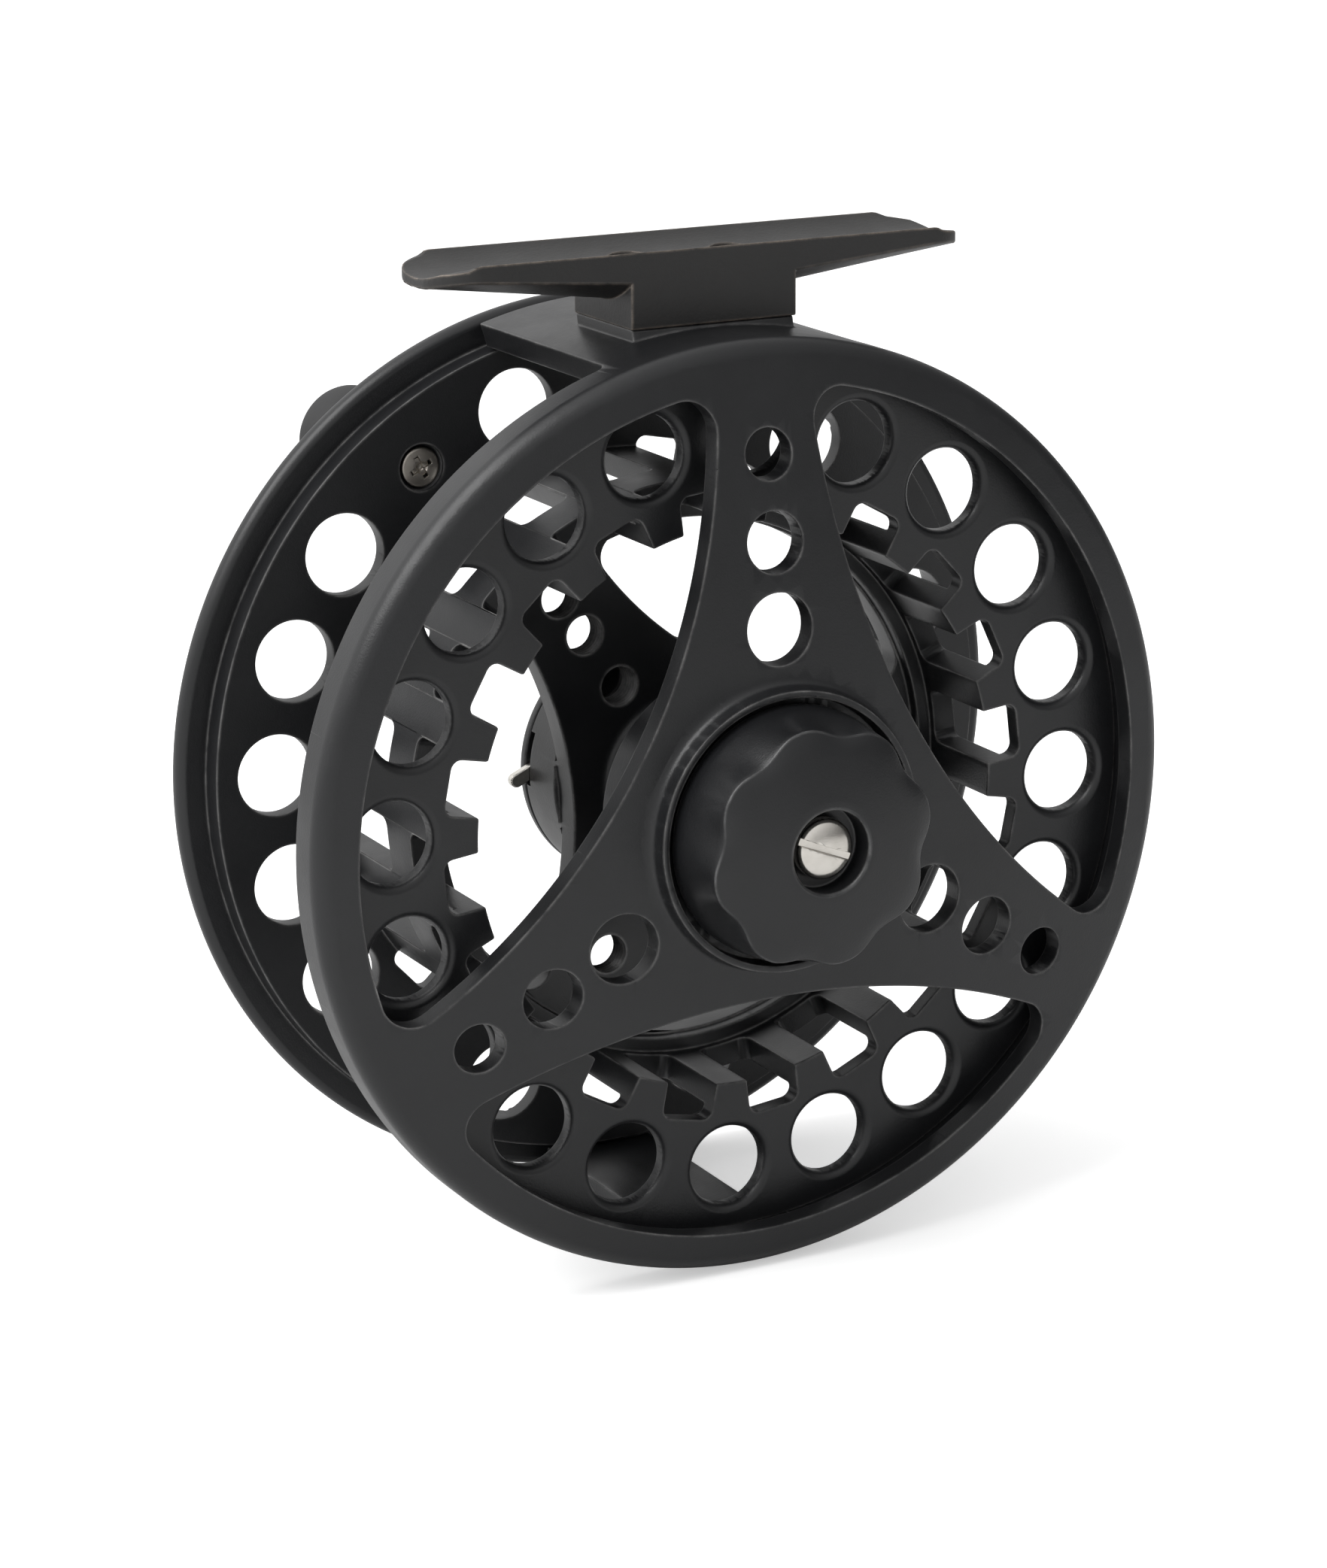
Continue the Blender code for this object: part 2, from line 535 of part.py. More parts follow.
def make_cap():
    """The thin cap that covers the release, with its three screws."""
    start = CAP_SEAM_Y + 0.2
    profile = [(CAP_R - 0.4, CAP_END_Y), (CAP_R, CAP_END_Y - 0.4), (CAP_R, start)]
    profile += [(CAP_BORE_R, start), (CAP_BORE_R, CAP_END_Y)]
    cap = turned("spool_cap", profile, BLACK)
    cut(cap, drill("cap_holes", CAP_SCREWS, 1.2, start - 1, CAP_END_Y + 1))
    under = CAP_END_Y + GAP
    profile = [(0, under + 0.9), (1.0, under + 0.8), (1.6, under + 0.3), (1.6, under), (0.6, under)]
    profile += [(0.6, POCKET_Y + 1.1), (0, POCKET_Y + 1.1)]
    for number, (x, z) in enumerate(CAP_SCREWS, 1):
        screw = turned(f"cap_screw_{number}", profile, STEEL, HOLE_ROUND, (x, z), ring=False)
        slot = ((x - 2, x + 2), (under + 0.5, under + 2), (z - 0.2, z + 0.2), 0)
        cut(screw, blocks(f"cap_screw_slot_{number}", [slot]))


def make_release():
    """The lever, the sliding latch that grips the spindle's groove, its spring and the lever's pivot."""
    crank = (DRIVE_PIN[0] - LEVER_PIVOT[0], DRIVE_PIN[1] - LEVER_PIVOT[1])
    length = sqrt(crank[0] ** 2 + crank[1] ** 2)
    lean = degrees(atan2(crank[1], crank[0])) % 360 - LEVER_ANGLE
    outline = arc((LEVER_REACH - LEVER_HALF, 0), LEVER_HALF, -90, 90, 6) + [(2.6, LEVER_HALF)]
    outline += arc(polar(length, lean), 0.9, lean - 90, lean + 90, 6)
    outline += arc((0, 0), PIVOT_HEAD_R, lean + 90, 310, 8)
    outline = turn_points(outline, LEVER_ANGLE)
    outline = [(x + LEVER_PIVOT[0], z + LEVER_PIVOT[1]) for x, z in outline]
    lever = plate("release_lever", [outline, arc(LEVER_PIVOT, 0.85, 0, 330, 11)], *LEVER_Y, NICKEL)
    combine(lever, drill("drive_pin", [DRIVE_PIN], 0.5, LATCH_Y[0], LEVER_Y[0] + 0.3), "UNION")
    profile = [(0, LEVER_Y[1]), (0.6, LEVER_Y[1]), (0.6, POCKET_Y + GAP), (0, POCKET_Y + GAP)]
    turned("lever_pivot_pin", profile, STEEL, HOLE_ROUND, LEVER_PIVOT, ring=False)

    fork_x, fork_half = DRIVE_PIN[0], 0.75
    fork = [(fork_x + fork_half, 1.5), (fork_x - fork_half, 1.5), (fork_x - fork_half, 3.6)]
    tail = [(-1.8, -4.5), (-1.8, -8.6), (-0.4, -8.6), (-0.4, -4.5)]
    outline = [(-10.6, 3.6), (-10.6, 1.0), (-5.0, -4.5)] + tail
    outline += [(4.0, -4.5), (5.6, -3.0), (5.6, 3.0), (4.0, 4.6), (-6.0, 4.6), (fork_x + fork_half, 3.6)]
    outline += fork
    grip = arc((LATCH_TRAVEL, 0), SPINDLE_R + GAP, 0, 345, 23)
    plate("latch_plate", [outline, grip], *LATCH_Y, STEEL)
    make_latch_spring()


def make_latch_spring():
    curve = bpy.data.curves.new("latch_spring", "CURVE")
    curve.dimensions = "3D"
    curve.bevel_depth = 0.22 * UNIT
    curve.bevel_resolution = 0
    curve.use_fill_caps = True
    coils, per_coil, radius, start, length = 5, 8, 0.95, -7.0, 4.1
    spline = curve.splines.new("POLY")
    spline.points.add(coils * per_coil)
    for i, point in enumerate(spline.points):
        y, z = polar(radius, 360 * i / per_coil)
        x = start + length * i / (coils * per_coil)
        point.co = (x * UNIT, y * UNIT, z * UNIT, 1)
    middle = (LATCH_Y[0] + LATCH_Y[1]) / 2
    solid_curve("latch_spring", curve, STEEL, UPRIGHT, (0, middle, -7.0))


def make_handle():
    """The post that the Phillips screw holds, the knob that spins on it and the screw that keeps the knob."""
    base = WEB_Y + FLANGE_T + GAP
    collar = base + 1.4
    post = [(0, 54.5), (1.2, 54.5), (1.2, 59.2), (POST_R, 59.2), (POST_R, collar), (3.6, collar), (3.6, base)]
    post += [(1.6, base), (1.6, 47.0), (0, 47.0)]
    turned("handle_post", post, STEEL, HOLE_ROUND, HANDLE, ring=False)
    profile = [(0, 46.6), (1.1, 46.6), (1.1, 41.4), (2.3, 40.5), (2.2, 40.1), (0, 39.9)]
    screw = turned("handle_screw", profile, NICKEL, HOLE_ROUND, HANDLE, ring=False)
    x, z = HANDLE
    for name, wide, high in (("cross_level", 1.4, 0.35), ("cross_upright", 0.35, 1.4)):
        cut(screw, blocks(name, [((x - wide, x + wide), (38, 40.7), (z - high, z + high), 0)]))
    grip = [(5.6, 61.5), (6.2, 60.9), (6.2, 58.6), (5.2, 54.0), (4.6, 49.0), (5.2, 45.6), (4.8, 44.4)]
    grip += [(POST_R + GAP, 44.4), (POST_R + GAP, 59.0), (3.4, 59.0), (3.4, 61.5)]
    turned("handle_knob", grip, HANDLE_BLACK, SMALL_ROUND, HANDLE)
    profile = [(0, 61.2), (2.2, 61.1), (3.0, 60.6), (3.0, 59.6), (0.9, 59.6), (0.9, 55.0), (0, 55.0)]
    end = turned("handle_end_screw", profile, NICKEL, HOLE_ROUND, HANDLE, ring=False)
    cut(end, blocks("handle_end_slot", [((x - 4, x + 4), (60.7, 63), (z - 0.4, z + 0.4), 0)]))


def smooth_rounds():
    for obj in REEL.objects:
        obj.data.shade_smooth()
        obj.data.set_sharp_from_angle(angle=radians(35))


clear_scene()
REEL = collection("fly_reel")
CUTTERS = collection("cutters")
HANDLE = around(HOLE_PITCH_R, FLANGE_HOLES, SPOOL_TURN)[HANDLE_HOLE]
PLUNGER = polar(9.0, 270)
CAP_SCREWS = [polar(CAP_SCREW_R, angle) for angle in CAP_SCREW_ANGLES]
make_frame()
make_foot()
make_foot_screws()
make_drag()
make_knob()
make_spindle()
make_spool()
make_bearings()
make_cap()
make_release()
make_handle()
smooth_rounds()
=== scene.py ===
"""Looks of the fly reel: a finely modelled piece for each CAD part, with procedural materials.

Shapes are modelled in millimetres about the spindle: radii from its axis and "y" along it, towards the
handle; angles in degrees turn from +X towards +Z. Each finished piece is then moved to the CAD's frame.
"""

import json
from math import atan2, cos, degrees, pi, radians, sin, sqrt

import bmesh
import bpy
from mathutils import Matrix, Vector


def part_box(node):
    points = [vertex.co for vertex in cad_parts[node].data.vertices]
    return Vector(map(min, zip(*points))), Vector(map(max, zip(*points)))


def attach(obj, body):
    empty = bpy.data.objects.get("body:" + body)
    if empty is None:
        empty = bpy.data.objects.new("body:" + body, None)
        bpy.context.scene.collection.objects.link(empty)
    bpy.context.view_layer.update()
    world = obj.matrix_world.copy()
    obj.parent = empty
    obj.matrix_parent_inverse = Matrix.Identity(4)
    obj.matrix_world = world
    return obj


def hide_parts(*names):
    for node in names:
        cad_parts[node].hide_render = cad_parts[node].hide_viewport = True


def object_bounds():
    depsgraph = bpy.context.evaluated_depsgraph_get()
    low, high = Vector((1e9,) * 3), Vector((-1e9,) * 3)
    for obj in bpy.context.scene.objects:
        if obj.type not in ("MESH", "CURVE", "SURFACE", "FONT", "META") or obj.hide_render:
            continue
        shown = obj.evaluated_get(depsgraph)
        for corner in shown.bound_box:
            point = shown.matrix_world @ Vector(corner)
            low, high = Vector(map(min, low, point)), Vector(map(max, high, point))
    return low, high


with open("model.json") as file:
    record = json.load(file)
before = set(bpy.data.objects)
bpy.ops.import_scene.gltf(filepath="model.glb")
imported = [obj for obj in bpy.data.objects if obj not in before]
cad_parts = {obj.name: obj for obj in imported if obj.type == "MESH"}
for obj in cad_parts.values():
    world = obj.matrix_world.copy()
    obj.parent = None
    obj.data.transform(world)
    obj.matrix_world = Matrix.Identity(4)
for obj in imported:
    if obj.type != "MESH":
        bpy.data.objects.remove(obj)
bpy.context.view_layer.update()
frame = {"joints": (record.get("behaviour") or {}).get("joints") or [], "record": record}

MM = 0.001
RECORD = frame["record"]
JOINTS = {joint["name"]: joint for joint in frame["joints"]}
BODY_OF = {node: body for body, nodes in RECORD["behaviour"]["bodies"].items() for node in nodes}


def mm_box(node):
    low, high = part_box(node)
    return Vector(low) / MM, Vector(high) / MM


# where the spindle is, from the CAD
LIP_Y = -3.8  # front of the frame's hub
SPINDLE_X, _, SPINDLE_Z = (value / MM for value in JOINTS["drag_slip"]["pos_m"])
SPINDLE_Y = mm_box("frame")[0].y - LIP_Y
ORIGIN = Vector((SPINDLE_X, SPINDLE_Y, SPINDLE_Z))


def reach(node):
    """A node's corners, measured from the spindle."""
    low, high = mm_box(node)
    return low - ORIGIN, high - ORIGIN


def span_y(node):
    low, high = reach(node)
    return low.y, high.y


def radius_of(node):
    low, high = reach(node)
    return (high.x - low.x) / 2


def middle_of(node):
    low, high = reach(node)
    return ((low.x + high.x) / 2, (low.z + high.z) / 2)


# frame
RING_R = radius_of("frame")
BORE_R = RING_R - 2.9
RING_BORE_R = RING_R - 3.45
BRIDGE_END_Y = span_y("frame")[1]
WINDOW_R = 48.5
ARM_T = 2.7
DOME = 0.00211  # the front is a bowl: it lies this times radius squared further back
DOME_Y = -2.1
ARM_ANGLES = (90, 210, 330)
ARM_HOLES = ((41.14, 2.8), (31.69, 3.37), (22.25, 3.97))  # distance from the spindle and radius
BRIDGES = ((90, 17.0), (-92, 7.8))  # middle and half width
RING_END_Y = 8.6
DRUM_R, DRUM_BORE_R, DRUM_END_Y = 15.6, 13.0, 11.4
SNAP_GROOVE = (13.9, 9.85, 10.75)
WALL_Y = 1.5  # the drum's front wall ends this far from the origin on both sides
STUD_HOLE_R = 2.7
BRIDGE_FILLET = 4.6
FRAME_WINDOW = (19.6, 85.0, 3.5)  # distance from the spindle, side radius and corner radius
SPIDER_WINDOW = (13.9, 44.0, 2.5)

# spool
SPOOL_Y1 = span_y("spool")[1]
RIM_R = radius_of("spool")
FLANGE_R, FLANGE_T, FLANGE_Y = RING_BORE_R - 0.06, 2.2, 7.9
WEB_Y = SPOOL_Y1 - 5.4
RIM_Y = SPOOL_Y1 - 2.3
STEP_R = RIM_R - 3.4
ARBOR_R, ARBOR_BORE_R, BAND_R = 35.2, 32.3, 30.6
BAND_Y = (20.6, 25.4)
SPIDER_Y = (22.0, 25.4)
HOLE_COUNT = 20
HOLE_PITCH_R, HOLE_R, FIRST_HOLE = 42.4, 4.7, 15.8
HANDLE_ANGLE = FIRST_HOLE + 6 * 360 / HOLE_COUNT
HANDLE = middle_of("handle_screw")
SLOT_W, SLOT_R = 6.2, 36.4
HUB_R, HUB_BORE_R, HUB_Y = 8.6, 5.5, 13.0
CAP_R, CAP_SEAM_Y = 14.5, 33.1
POCKET_R, POCKET_Y = 13.2, 29.5
CAP_SCREWS = [middle_of(f"cap_screw_{number}") for number in (1, 2, 3)]

# foot
FOOT_Y = middle_of("foot")[0] + sum(span_y("foot")) / 2
FOOT_LENGTH, FOOT_WIDTH = reach("foot")[1].x, (span_y("foot")[1] - span_y("foot")[0]) / 2
FOOT_BASE_Z, FOOT_TOP_Z = reach("foot")[0].z, reach("foot")[1].z
PEDESTAL = 10.2
TROUGH_R = 14.5
SEAT_Z = -ORIGIN.z

# drag knob
KNOB_R = radius_of("drag_knob")
SCOOP_ANGLE = 35.0
SCREW_SLOT_ANGLE = -22.0

# release lever
PIVOT = middle_of("lever_pivot_pin")
LEVER_ANGLE, LEVER_REACH = 225.0, 7.8  # where the tip lies from the pivot
TIP_ANGLE = 204.0

EDGE = 0.2
ROUND = 240


# ---------------------------------------------------------------- modelling kit


def polar(radius, angle):
    return (radius * cos(radians(angle)), radius * sin(radians(angle)))


def around(radius, count, first=0.0):
    return [polar(radius, first + 360 * i / count) for i in range(count)]


def arc(centre, radius, start, end, steps):
    points = []
    for i in range(steps + 1):
        x, z = polar(radius, start + (end - start) * i / steps)
        points.append((centre[0] + x, centre[1] + z))
    return points


def rounded_bar(start, end, half):
    """Outline of a flat bar with round ends, from one (x, z) spot to another."""
    angle = degrees(atan2(end[1] - start[1], end[0] - start[0]))
    return arc(end, half, angle - 90, angle + 90, 14) + arc(start, half, angle + 90, angle + 270, 14)


def turn_points(points, angle):
    c, s = cos(radians(angle)), sin(radians(angle))
    return [(x * c - z * s, x * s + z * c) for x, z in points]


def lens(outer_r, hub_r, side_r, corner_r, angle, steps=60):
    """A spider's window: the ring's arc outside, a flatter arc along the arms and hub, and round corners."""
    away = hub_r + side_r
    ring, side = outer_r - corner_r, side_r - corner_r
    u = (away**2 + ring**2 - side**2) / (2 * away)
    v = sqrt(ring**2 - u**2)
    outer_end = degrees(atan2(v, u))
    side_end = degrees(atan2(v, u - away))
    points = arc((0, 0), outer_r, -outer_end, outer_end, steps)
    points += arc((u, v), corner_r, outer_end, side_end, 14)[1:]
    points += arc((away, 0), side_r, side_end, 360 - side_end, steps)[1:]
    points += arc((u, -v), corner_r, -side_end, -outer_end, 14)[1:-1]
    return turn_points(points, angle)


def curve_value(p, q, r, s, t):
    """Catmull-Rom: from q at t = 0 to r at t = 1, steered by the values before and after."""
    bend = (2 * p - 5 * q + 4 * r - s) * t**2
    twist = (3 * q - p - 3 * r + s) * t**3
    return 0.5 * (2 * q + (r - p) * t + bend + twist)


def smooth_line(points, steps=6):
    """A curve through the points."""
    ends = [points[0], *points, points[-1]]
    line = []
    for a, b, c, d in zip(ends, ends[1:], ends[2:], ends[3:]):
        for i in range(steps):
            t = i / steps
            line.append(tuple(curve_value(p, q, r, s, t) for p, q, r, s in zip(a, b, c, d)))
    return line + [points[-1]]


def spun(profile, steps=ROUND, spot=(0, 0), closed=True):
    """A shape turned about Y from its (radius, y) profile, which closes on itself or ends on the axis."""
    shape = bmesh.new()
    points = [shape.verts.new((r, y, 0)) for r, y in profile]
    pairs = list(zip(points, points[1:]))
    if closed:
        pairs.append((points[-1], points[0]))
    edges = [shape.edges.new(pair) for pair in pairs]
    bmesh.ops.spin(
        shape,
        geom=points + edges,
        cent=(0, 0, 0),
        axis=(0, 1, 0),
        angle=2 * pi,
        steps=steps,
        use_merge=True,
        use_duplicate=False,
    )
    bmesh.ops.remove_doubles(shape, verts=shape.verts, dist=1e-5)
    bmesh.ops.recalc_face_normals(shape, faces=shape.faces)
    bmesh.ops.translate(shape, vec=(spot[0], 0, spot[1]), verts=shape.verts)
    return shape


def ring(outer_r, inner_r, y0, y1, steps=96):
    return spun([(outer_r, y1), (outer_r, y0), (inner_r, y0), (inner_r, y1)], steps)


def prism(outlines, y0, y1):
    """Flat outlines of (x, z) points, each made into a bar from y0 to y1."""
    shape = bmesh.new()
    for outline in outlines:
        low = [shape.verts.new((x, y0, z)) for x, z in outline]
        high = [shape.verts.new((x, y1, z)) for x, z in outline]
        shape.faces.new(low)
        shape.faces.new(high[::-1])
        for i in range(len(outline)):
            j = (i + 1) % len(outline)
            shape.faces.new((low[i], high[i], high[j], low[j]))
    bmesh.ops.recalc_face_normals(shape, faces=shape.faces)
    return shape


def bars(spots, radius, y0, y1, sides=48, end_radius=None):
    """Round bars along Y at each (x, z) spot."""
    shape = bmesh.new()
    for x, z in spots:
        turn = Matrix.Translation((x, (y0 + y1) / 2, z)) @ Matrix.Rotation(-pi / 2, 4, "X")
        bmesh.ops.create_cone(
            shape,
            cap_ends=True,
            segments=sides,
            radius1=radius,
            radius2=radius if end_radius is None else end_radius,
            depth=y1 - y0,
            matrix=turn,
        )
    return shape


def balls(spots, radius, y):
    shape = bmesh.new()
    for x, z in spots:
        bmesh.ops.create_uvsphere(
            shape, u_segments=20, v_segments=12, radius=radius, matrix=Matrix.Translation((x, y, z))
        )
    return shape


def block(low, high, turn=None):
    """A box between two corners, turned by a matrix."""
    low, high = Vector(low), Vector(high)
    shape = bmesh.new()
    place = Matrix.Translation((low + high) / 2) @ Matrix.Diagonal((*(high - low), 1))
    bmesh.ops.create_cube(shape, size=1, matrix=(turn or Matrix()) @ place)
    return shape


def about_y(angle, spot=(0, 0)):
    """Turns by an angle from +X towards +Z, then moves to the (x, z) spot."""
    return Matrix.Translation((spot[0], 0, spot[1])) @ Matrix.Rotation(-radians(angle), 4, "Y")


def moved(shape, matrix):
    bmesh.ops.transform(shape, matrix=matrix, verts=shape.verts)
    return shape


def stood_up(shape, x):
    """Stands a shape made about Y on the foot's middle line, so that its y becomes height."""
    return moved(shape, Matrix.Translation((x, FOOT_Y, 0)) @ Matrix.Rotation(pi / 2, 4, "X"))


def joined(shapes):
    """One shape holding copies of all of them."""
    whole = bmesh.new()
    for shape in shapes:
        mesh = bpy.data.meshes.new("part")
        shape.to_mesh(mesh)
        shape.free()
        whole.from_mesh(mesh)
        bpy.data.meshes.remove(mesh)
    return whole


def round_some(shape, radius, segments, chosen):
    """Rounds the edges that the test picks."""
    edges = [edge_wear_and_highlight_mask for edge_wear_and_highlight_mask in shape.edges if chosen(edge_wear_and_highlight_mask.verts[0].co, edge_wear_and_highlight_mask.verts[1].co)]
    bmesh.ops.bevel(
        shape, geom=edges, offset=radius, segments=segments, profile=0.5, affect="EDGES", clamp_overlap=True
    )
    return shape


def as_object(shape, name="work"):
    mesh = bpy.data.meshes.new(name)
    shape.to_mesh(mesh)
    shape.free()
    obj = bpy.data.objects.new(name, mesh)
    bpy.context.scene.collection.objects.link(obj)
    return obj


def as_shape(obj):
    """The object's evaluated mesh as a bmesh; the object is removed."""
    bpy.context.view_layer.update()
    graph = bpy.context.evaluated_depsgraph_get()
    mesh = bpy.data.meshes.new_from_object(obj.evaluated_get(graph))
    shape = bmesh.new()
    shape.from_mesh(mesh)
    bpy.data.meshes.remove(mesh)
    bpy.data.objects.remove(obj)
    return shape


def combine(shape, others, operation="DIFFERENCE"):
    body = as_object(shape)
    tools = [as_object(other, "tool") for other in others]
    for tool in tools:
        boolean = body.modifiers.new("cut", "BOOLEAN")
        boolean.operation = operation
        boolean.solver = "EXACT"
        boolean.object = tool
    result = as_shape(body)
    for tool in tools:
        bpy.data.objects.remove(tool)
    return result


def simplify(shape, sectors=0, first=0.0, angle=0.2, merge=0.02):
    """Joins faces that lie in one plane and points that nearly coincide.

    Cuts through the axis then split any face that would surround a hole, which Bevel can't follow.
    """
    bmesh.ops.remove_doubles(shape, verts=shape.verts, dist=merge)
    bmesh.ops.dissolve_limit(shape, angle_limit=radians(angle), verts=shape.verts, edges=shape.edges)
    for i in range(sectors):
        x, z = polar(1, first + 180 * i / sectors + 90)
        bmesh.ops.bisect_plane(
            shape,
            geom=shape.verts[:] + shape.edges[:] + shape.faces[:],
            dist=1e-4,
            plane_co=(0, 0, 0),
            plane_no=(x, 0, z),
        )
    return shape


def soften(shape, width=EDGE, segments=2, angle=32, clamp=False):
    body = as_object(shape)
    bevel = body.modifiers.new("edges", "BEVEL")
    bevel.width = width
    bevel.segments = segments
    bevel.limit_method = "ANGLE"
    bevel.angle_limit = radians(angle)
    bevel.use_clamp_overlap = clamp
    return as_shape(body)


def grid_cut(shape, spacing, reach_mm):
    """Cuts the shape along a square grid in X and Z, so that it can be bent."""
    steps = int(reach_mm / spacing)
    for axis in ((1, 0, 0), (0, 0, 1)):
        for i in range(-steps, steps + 1):
            bmesh.ops.bisect_plane(
                shape,
                geom=shape.verts[:] + shape.edges[:] + shape.faces[:],
                dist=1e-4,
                plane_co=Vector(axis) * (i * spacing + 0.013),
                plane_no=axis,
            )
    return shape


def piece(node, shape, look, sharp=38):
    """Moves a finished shape to the CAD's frame, where it stands for its CAD node and rides on its body."""
    moved(shape, Matrix.Scale(MM, 4) @ Matrix.Translation(ORIGIN))
    obj = as_object(shape, node + "_fine")
    obj.data.shade_smooth()
    obj.data.set_sharp_from_angle(angle=radians(sharp))
    normals = obj.modifiers.new("normals", "WEIGHTED_NORMAL")
    normals.keep_sharp = True
    obj.data.materials.append(look)
    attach(obj, BODY_OF[node])
    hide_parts(node)
    return obj


# ---------------------------------------------------------------- materials


class Nodes:
    """Short calls for building a material's node tree."""

    def __init__(self, name):
        self.material = bpy.data.materials.new(name)
        self.material.use_nodes = True
        self.tree = self.material.node_tree
        self.shader = self.tree.nodes["Principled BSDF"]
        place = self.add("ShaderNodeTexCoord")
        self.where = place.outputs["Object"]

    def add(self, kind, **settings):
        node = self.tree.nodes.new(kind)
        for name, value in settings.items():
            setattr(node, name, value)
        return node

    def link(self, source, target):
        self.tree.links.new(source, target)

    def noise(self, scale, detail=2.0, roughness=0.5, stretch=None):
        node = self.add("ShaderNodeTexNoise")
        node.inputs["Scale"].default_value = scale
        node.inputs["Detail"].default_value = detail
        node.inputs["Roughness"].default_value = roughness
        where = self.where
        if stretch:
            mapping = self.add("ShaderNodeMapping")
            mapping.inputs["Scale"].default_value = stretch
            self.link(self.where, mapping.inputs["Vector"])
            where = mapping.outputs["Vector"]
        self.link(where, node.inputs["Vector"])
        return node.outputs["Fac"]

    def ramp(self, value, stops):
        node = self.add("ShaderNodeValToRGB")
        ramp = node.color_ramp
        while len(ramp.elements) < len(stops):
            ramp.elements.new(0.5)
        for element, (position, colour) in zip(ramp.elements, stops):
            element.position = position
            element.color = (*colour, 1) if isinstance(colour, tuple) else (colour, colour, colour, 1)
        self.link(value, node.inputs["Fac"])
        return node.outputs["Color"]

    def mix(self, factor, first, second):
        node = self.add("ShaderNodeMix", data_type="RGBA")
        self.link(factor, node.inputs["Factor"])
        for value, target in ((first, node.inputs["A"]), (second, node.inputs["B"])):
            if isinstance(value, tuple):
                target.default_value = (*value, 1)
            else:
                self.link(value, target)
        return node.outputs["Result"]

    def math(self, operation, first, second=None):
        node = self.add("ShaderNodeMath", operation=operation)
        for value, target in ((first, node.inputs[0]), (second, node.inputs[1])):
            if value is None:
                continue
            if isinstance(value, (int, float)):
                target.default_value = value
            else:
                self.link(value, target)
        return node.outputs["Value"]

    def edge_mask(self, radius, low, high):
        """1 on edges, 0 on faces: how far a rounded normal turns from the true one."""
        bevel = self.add("ShaderNodeBevel", samples=4)
        bevel.inputs["Radius"].default_value = radius
        true = self.add("ShaderNodeNewGeometry")
        dot = self.add("ShaderNodeVectorMath", operation="DOT_PRODUCT")
        self.link(bevel.outputs["Normal"], dot.inputs[0])
        self.link(true.outputs["Normal"], dot.inputs[1])
        turned = self.math("SUBTRACT", 1.0, dot.outputs["Value"])
        return self.ramp(turned, ((low, 0.0), (high, 1.0)))

    def rings(self, centre, scale, detail=3.0):
        """Noise in circles about an axis along Y: the marks that a lathe or a wheel leaves."""
        split = self.add("ShaderNodeSeparateXYZ")
        self.link(self.where, split.inputs["Vector"])
        squares = []
        for name, middle in (("X", centre[0]), ("Z", centre[1])):
            off = self.math("SUBTRACT", split.outputs[name], middle)
            squares.append(self.math("MULTIPLY", off, off))
        radius = self.math("SQRT", self.math("ADD", *squares))
        join = self.add("ShaderNodeCombineXYZ")
        self.link(radius, join.inputs["X"])
        self.link(split.outputs["Y"], join.inputs["Y"])
        node = self.add("ShaderNodeTexNoise")
        node.inputs["Scale"].default_value = scale
        node.inputs["Detail"].default_value = detail
        self.link(join.outputs["Vector"], node.inputs["Vector"])
        return node.outputs["Fac"]

    def bump(self, height, distance, strength=1.0, normal=None):
        node = self.add("ShaderNodeBump")
        node.inputs["Distance"].default_value = distance
        node.inputs["Strength"].default_value = strength
        self.link(height, node.inputs["Height"])
        if normal is not None:
            self.link(normal, node.inputs["Normal"])
        return node.outputs["Normal"]

    def set(self, **values):
        for name, value in values.items():
            target = self.shader.inputs[name.replace("_", " ")]
            if isinstance(value, (int, float)):
                target.default_value = value
            else:
                self.link(value, target)
        return self.material


def black_finish(name, colour, edge_wear_and_highlight, roughness, wear_and_highlight=0.5, grain_scale=4200.0, grain=0.35, marks=0.0):
    """Satin black: fine grain, cloudy gloss, edges painted brighter as wear and as a highlight, and turning
    marks if asked for.
    """
    n = Nodes(name)
    darker = tuple(c * 0.85 for c in colour)
    lighter = tuple(c * 1.2 for c in colour)
    base = n.ramp(n.noise(60.0, 4.0, 0.6), ((0.3, darker), (0.7, lighter)))
    # edges painted brighter in patches: partly rubbed wear, partly a painted highlight along every edge
    rub_and_highlight_patches = n.ramp(n.noise(300.0, 5.0, 0.7), ((0.35, 0.1), (0.75, wear_and_highlight)))
    edge_wear_and_highlight_mask = n.math("MULTIPLY", n.edge_mask(0.0004, 0.006, 0.06), rub_and_highlight_patches)
    gloss = n.ramp(n.noise(140.0, 5.0, 0.65), ((0.3, roughness - 0.05), (0.72, roughness + 0.06)))
    normal = n.bump(n.noise(grain_scale, 2.0, 0.6), 0.00005, grain)
    if marks:
        lathe = n.rings((SPINDLE_X * MM, SPINDLE_Z * MM), 1800.0)
        normal = n.bump(lathe, 0.00001, marks, normal)
    return n.set(Base_Color=n.mix(edge_wear_and_highlight_mask, base, edge_wear_and_highlight), Roughness=gloss, Normal=normal)


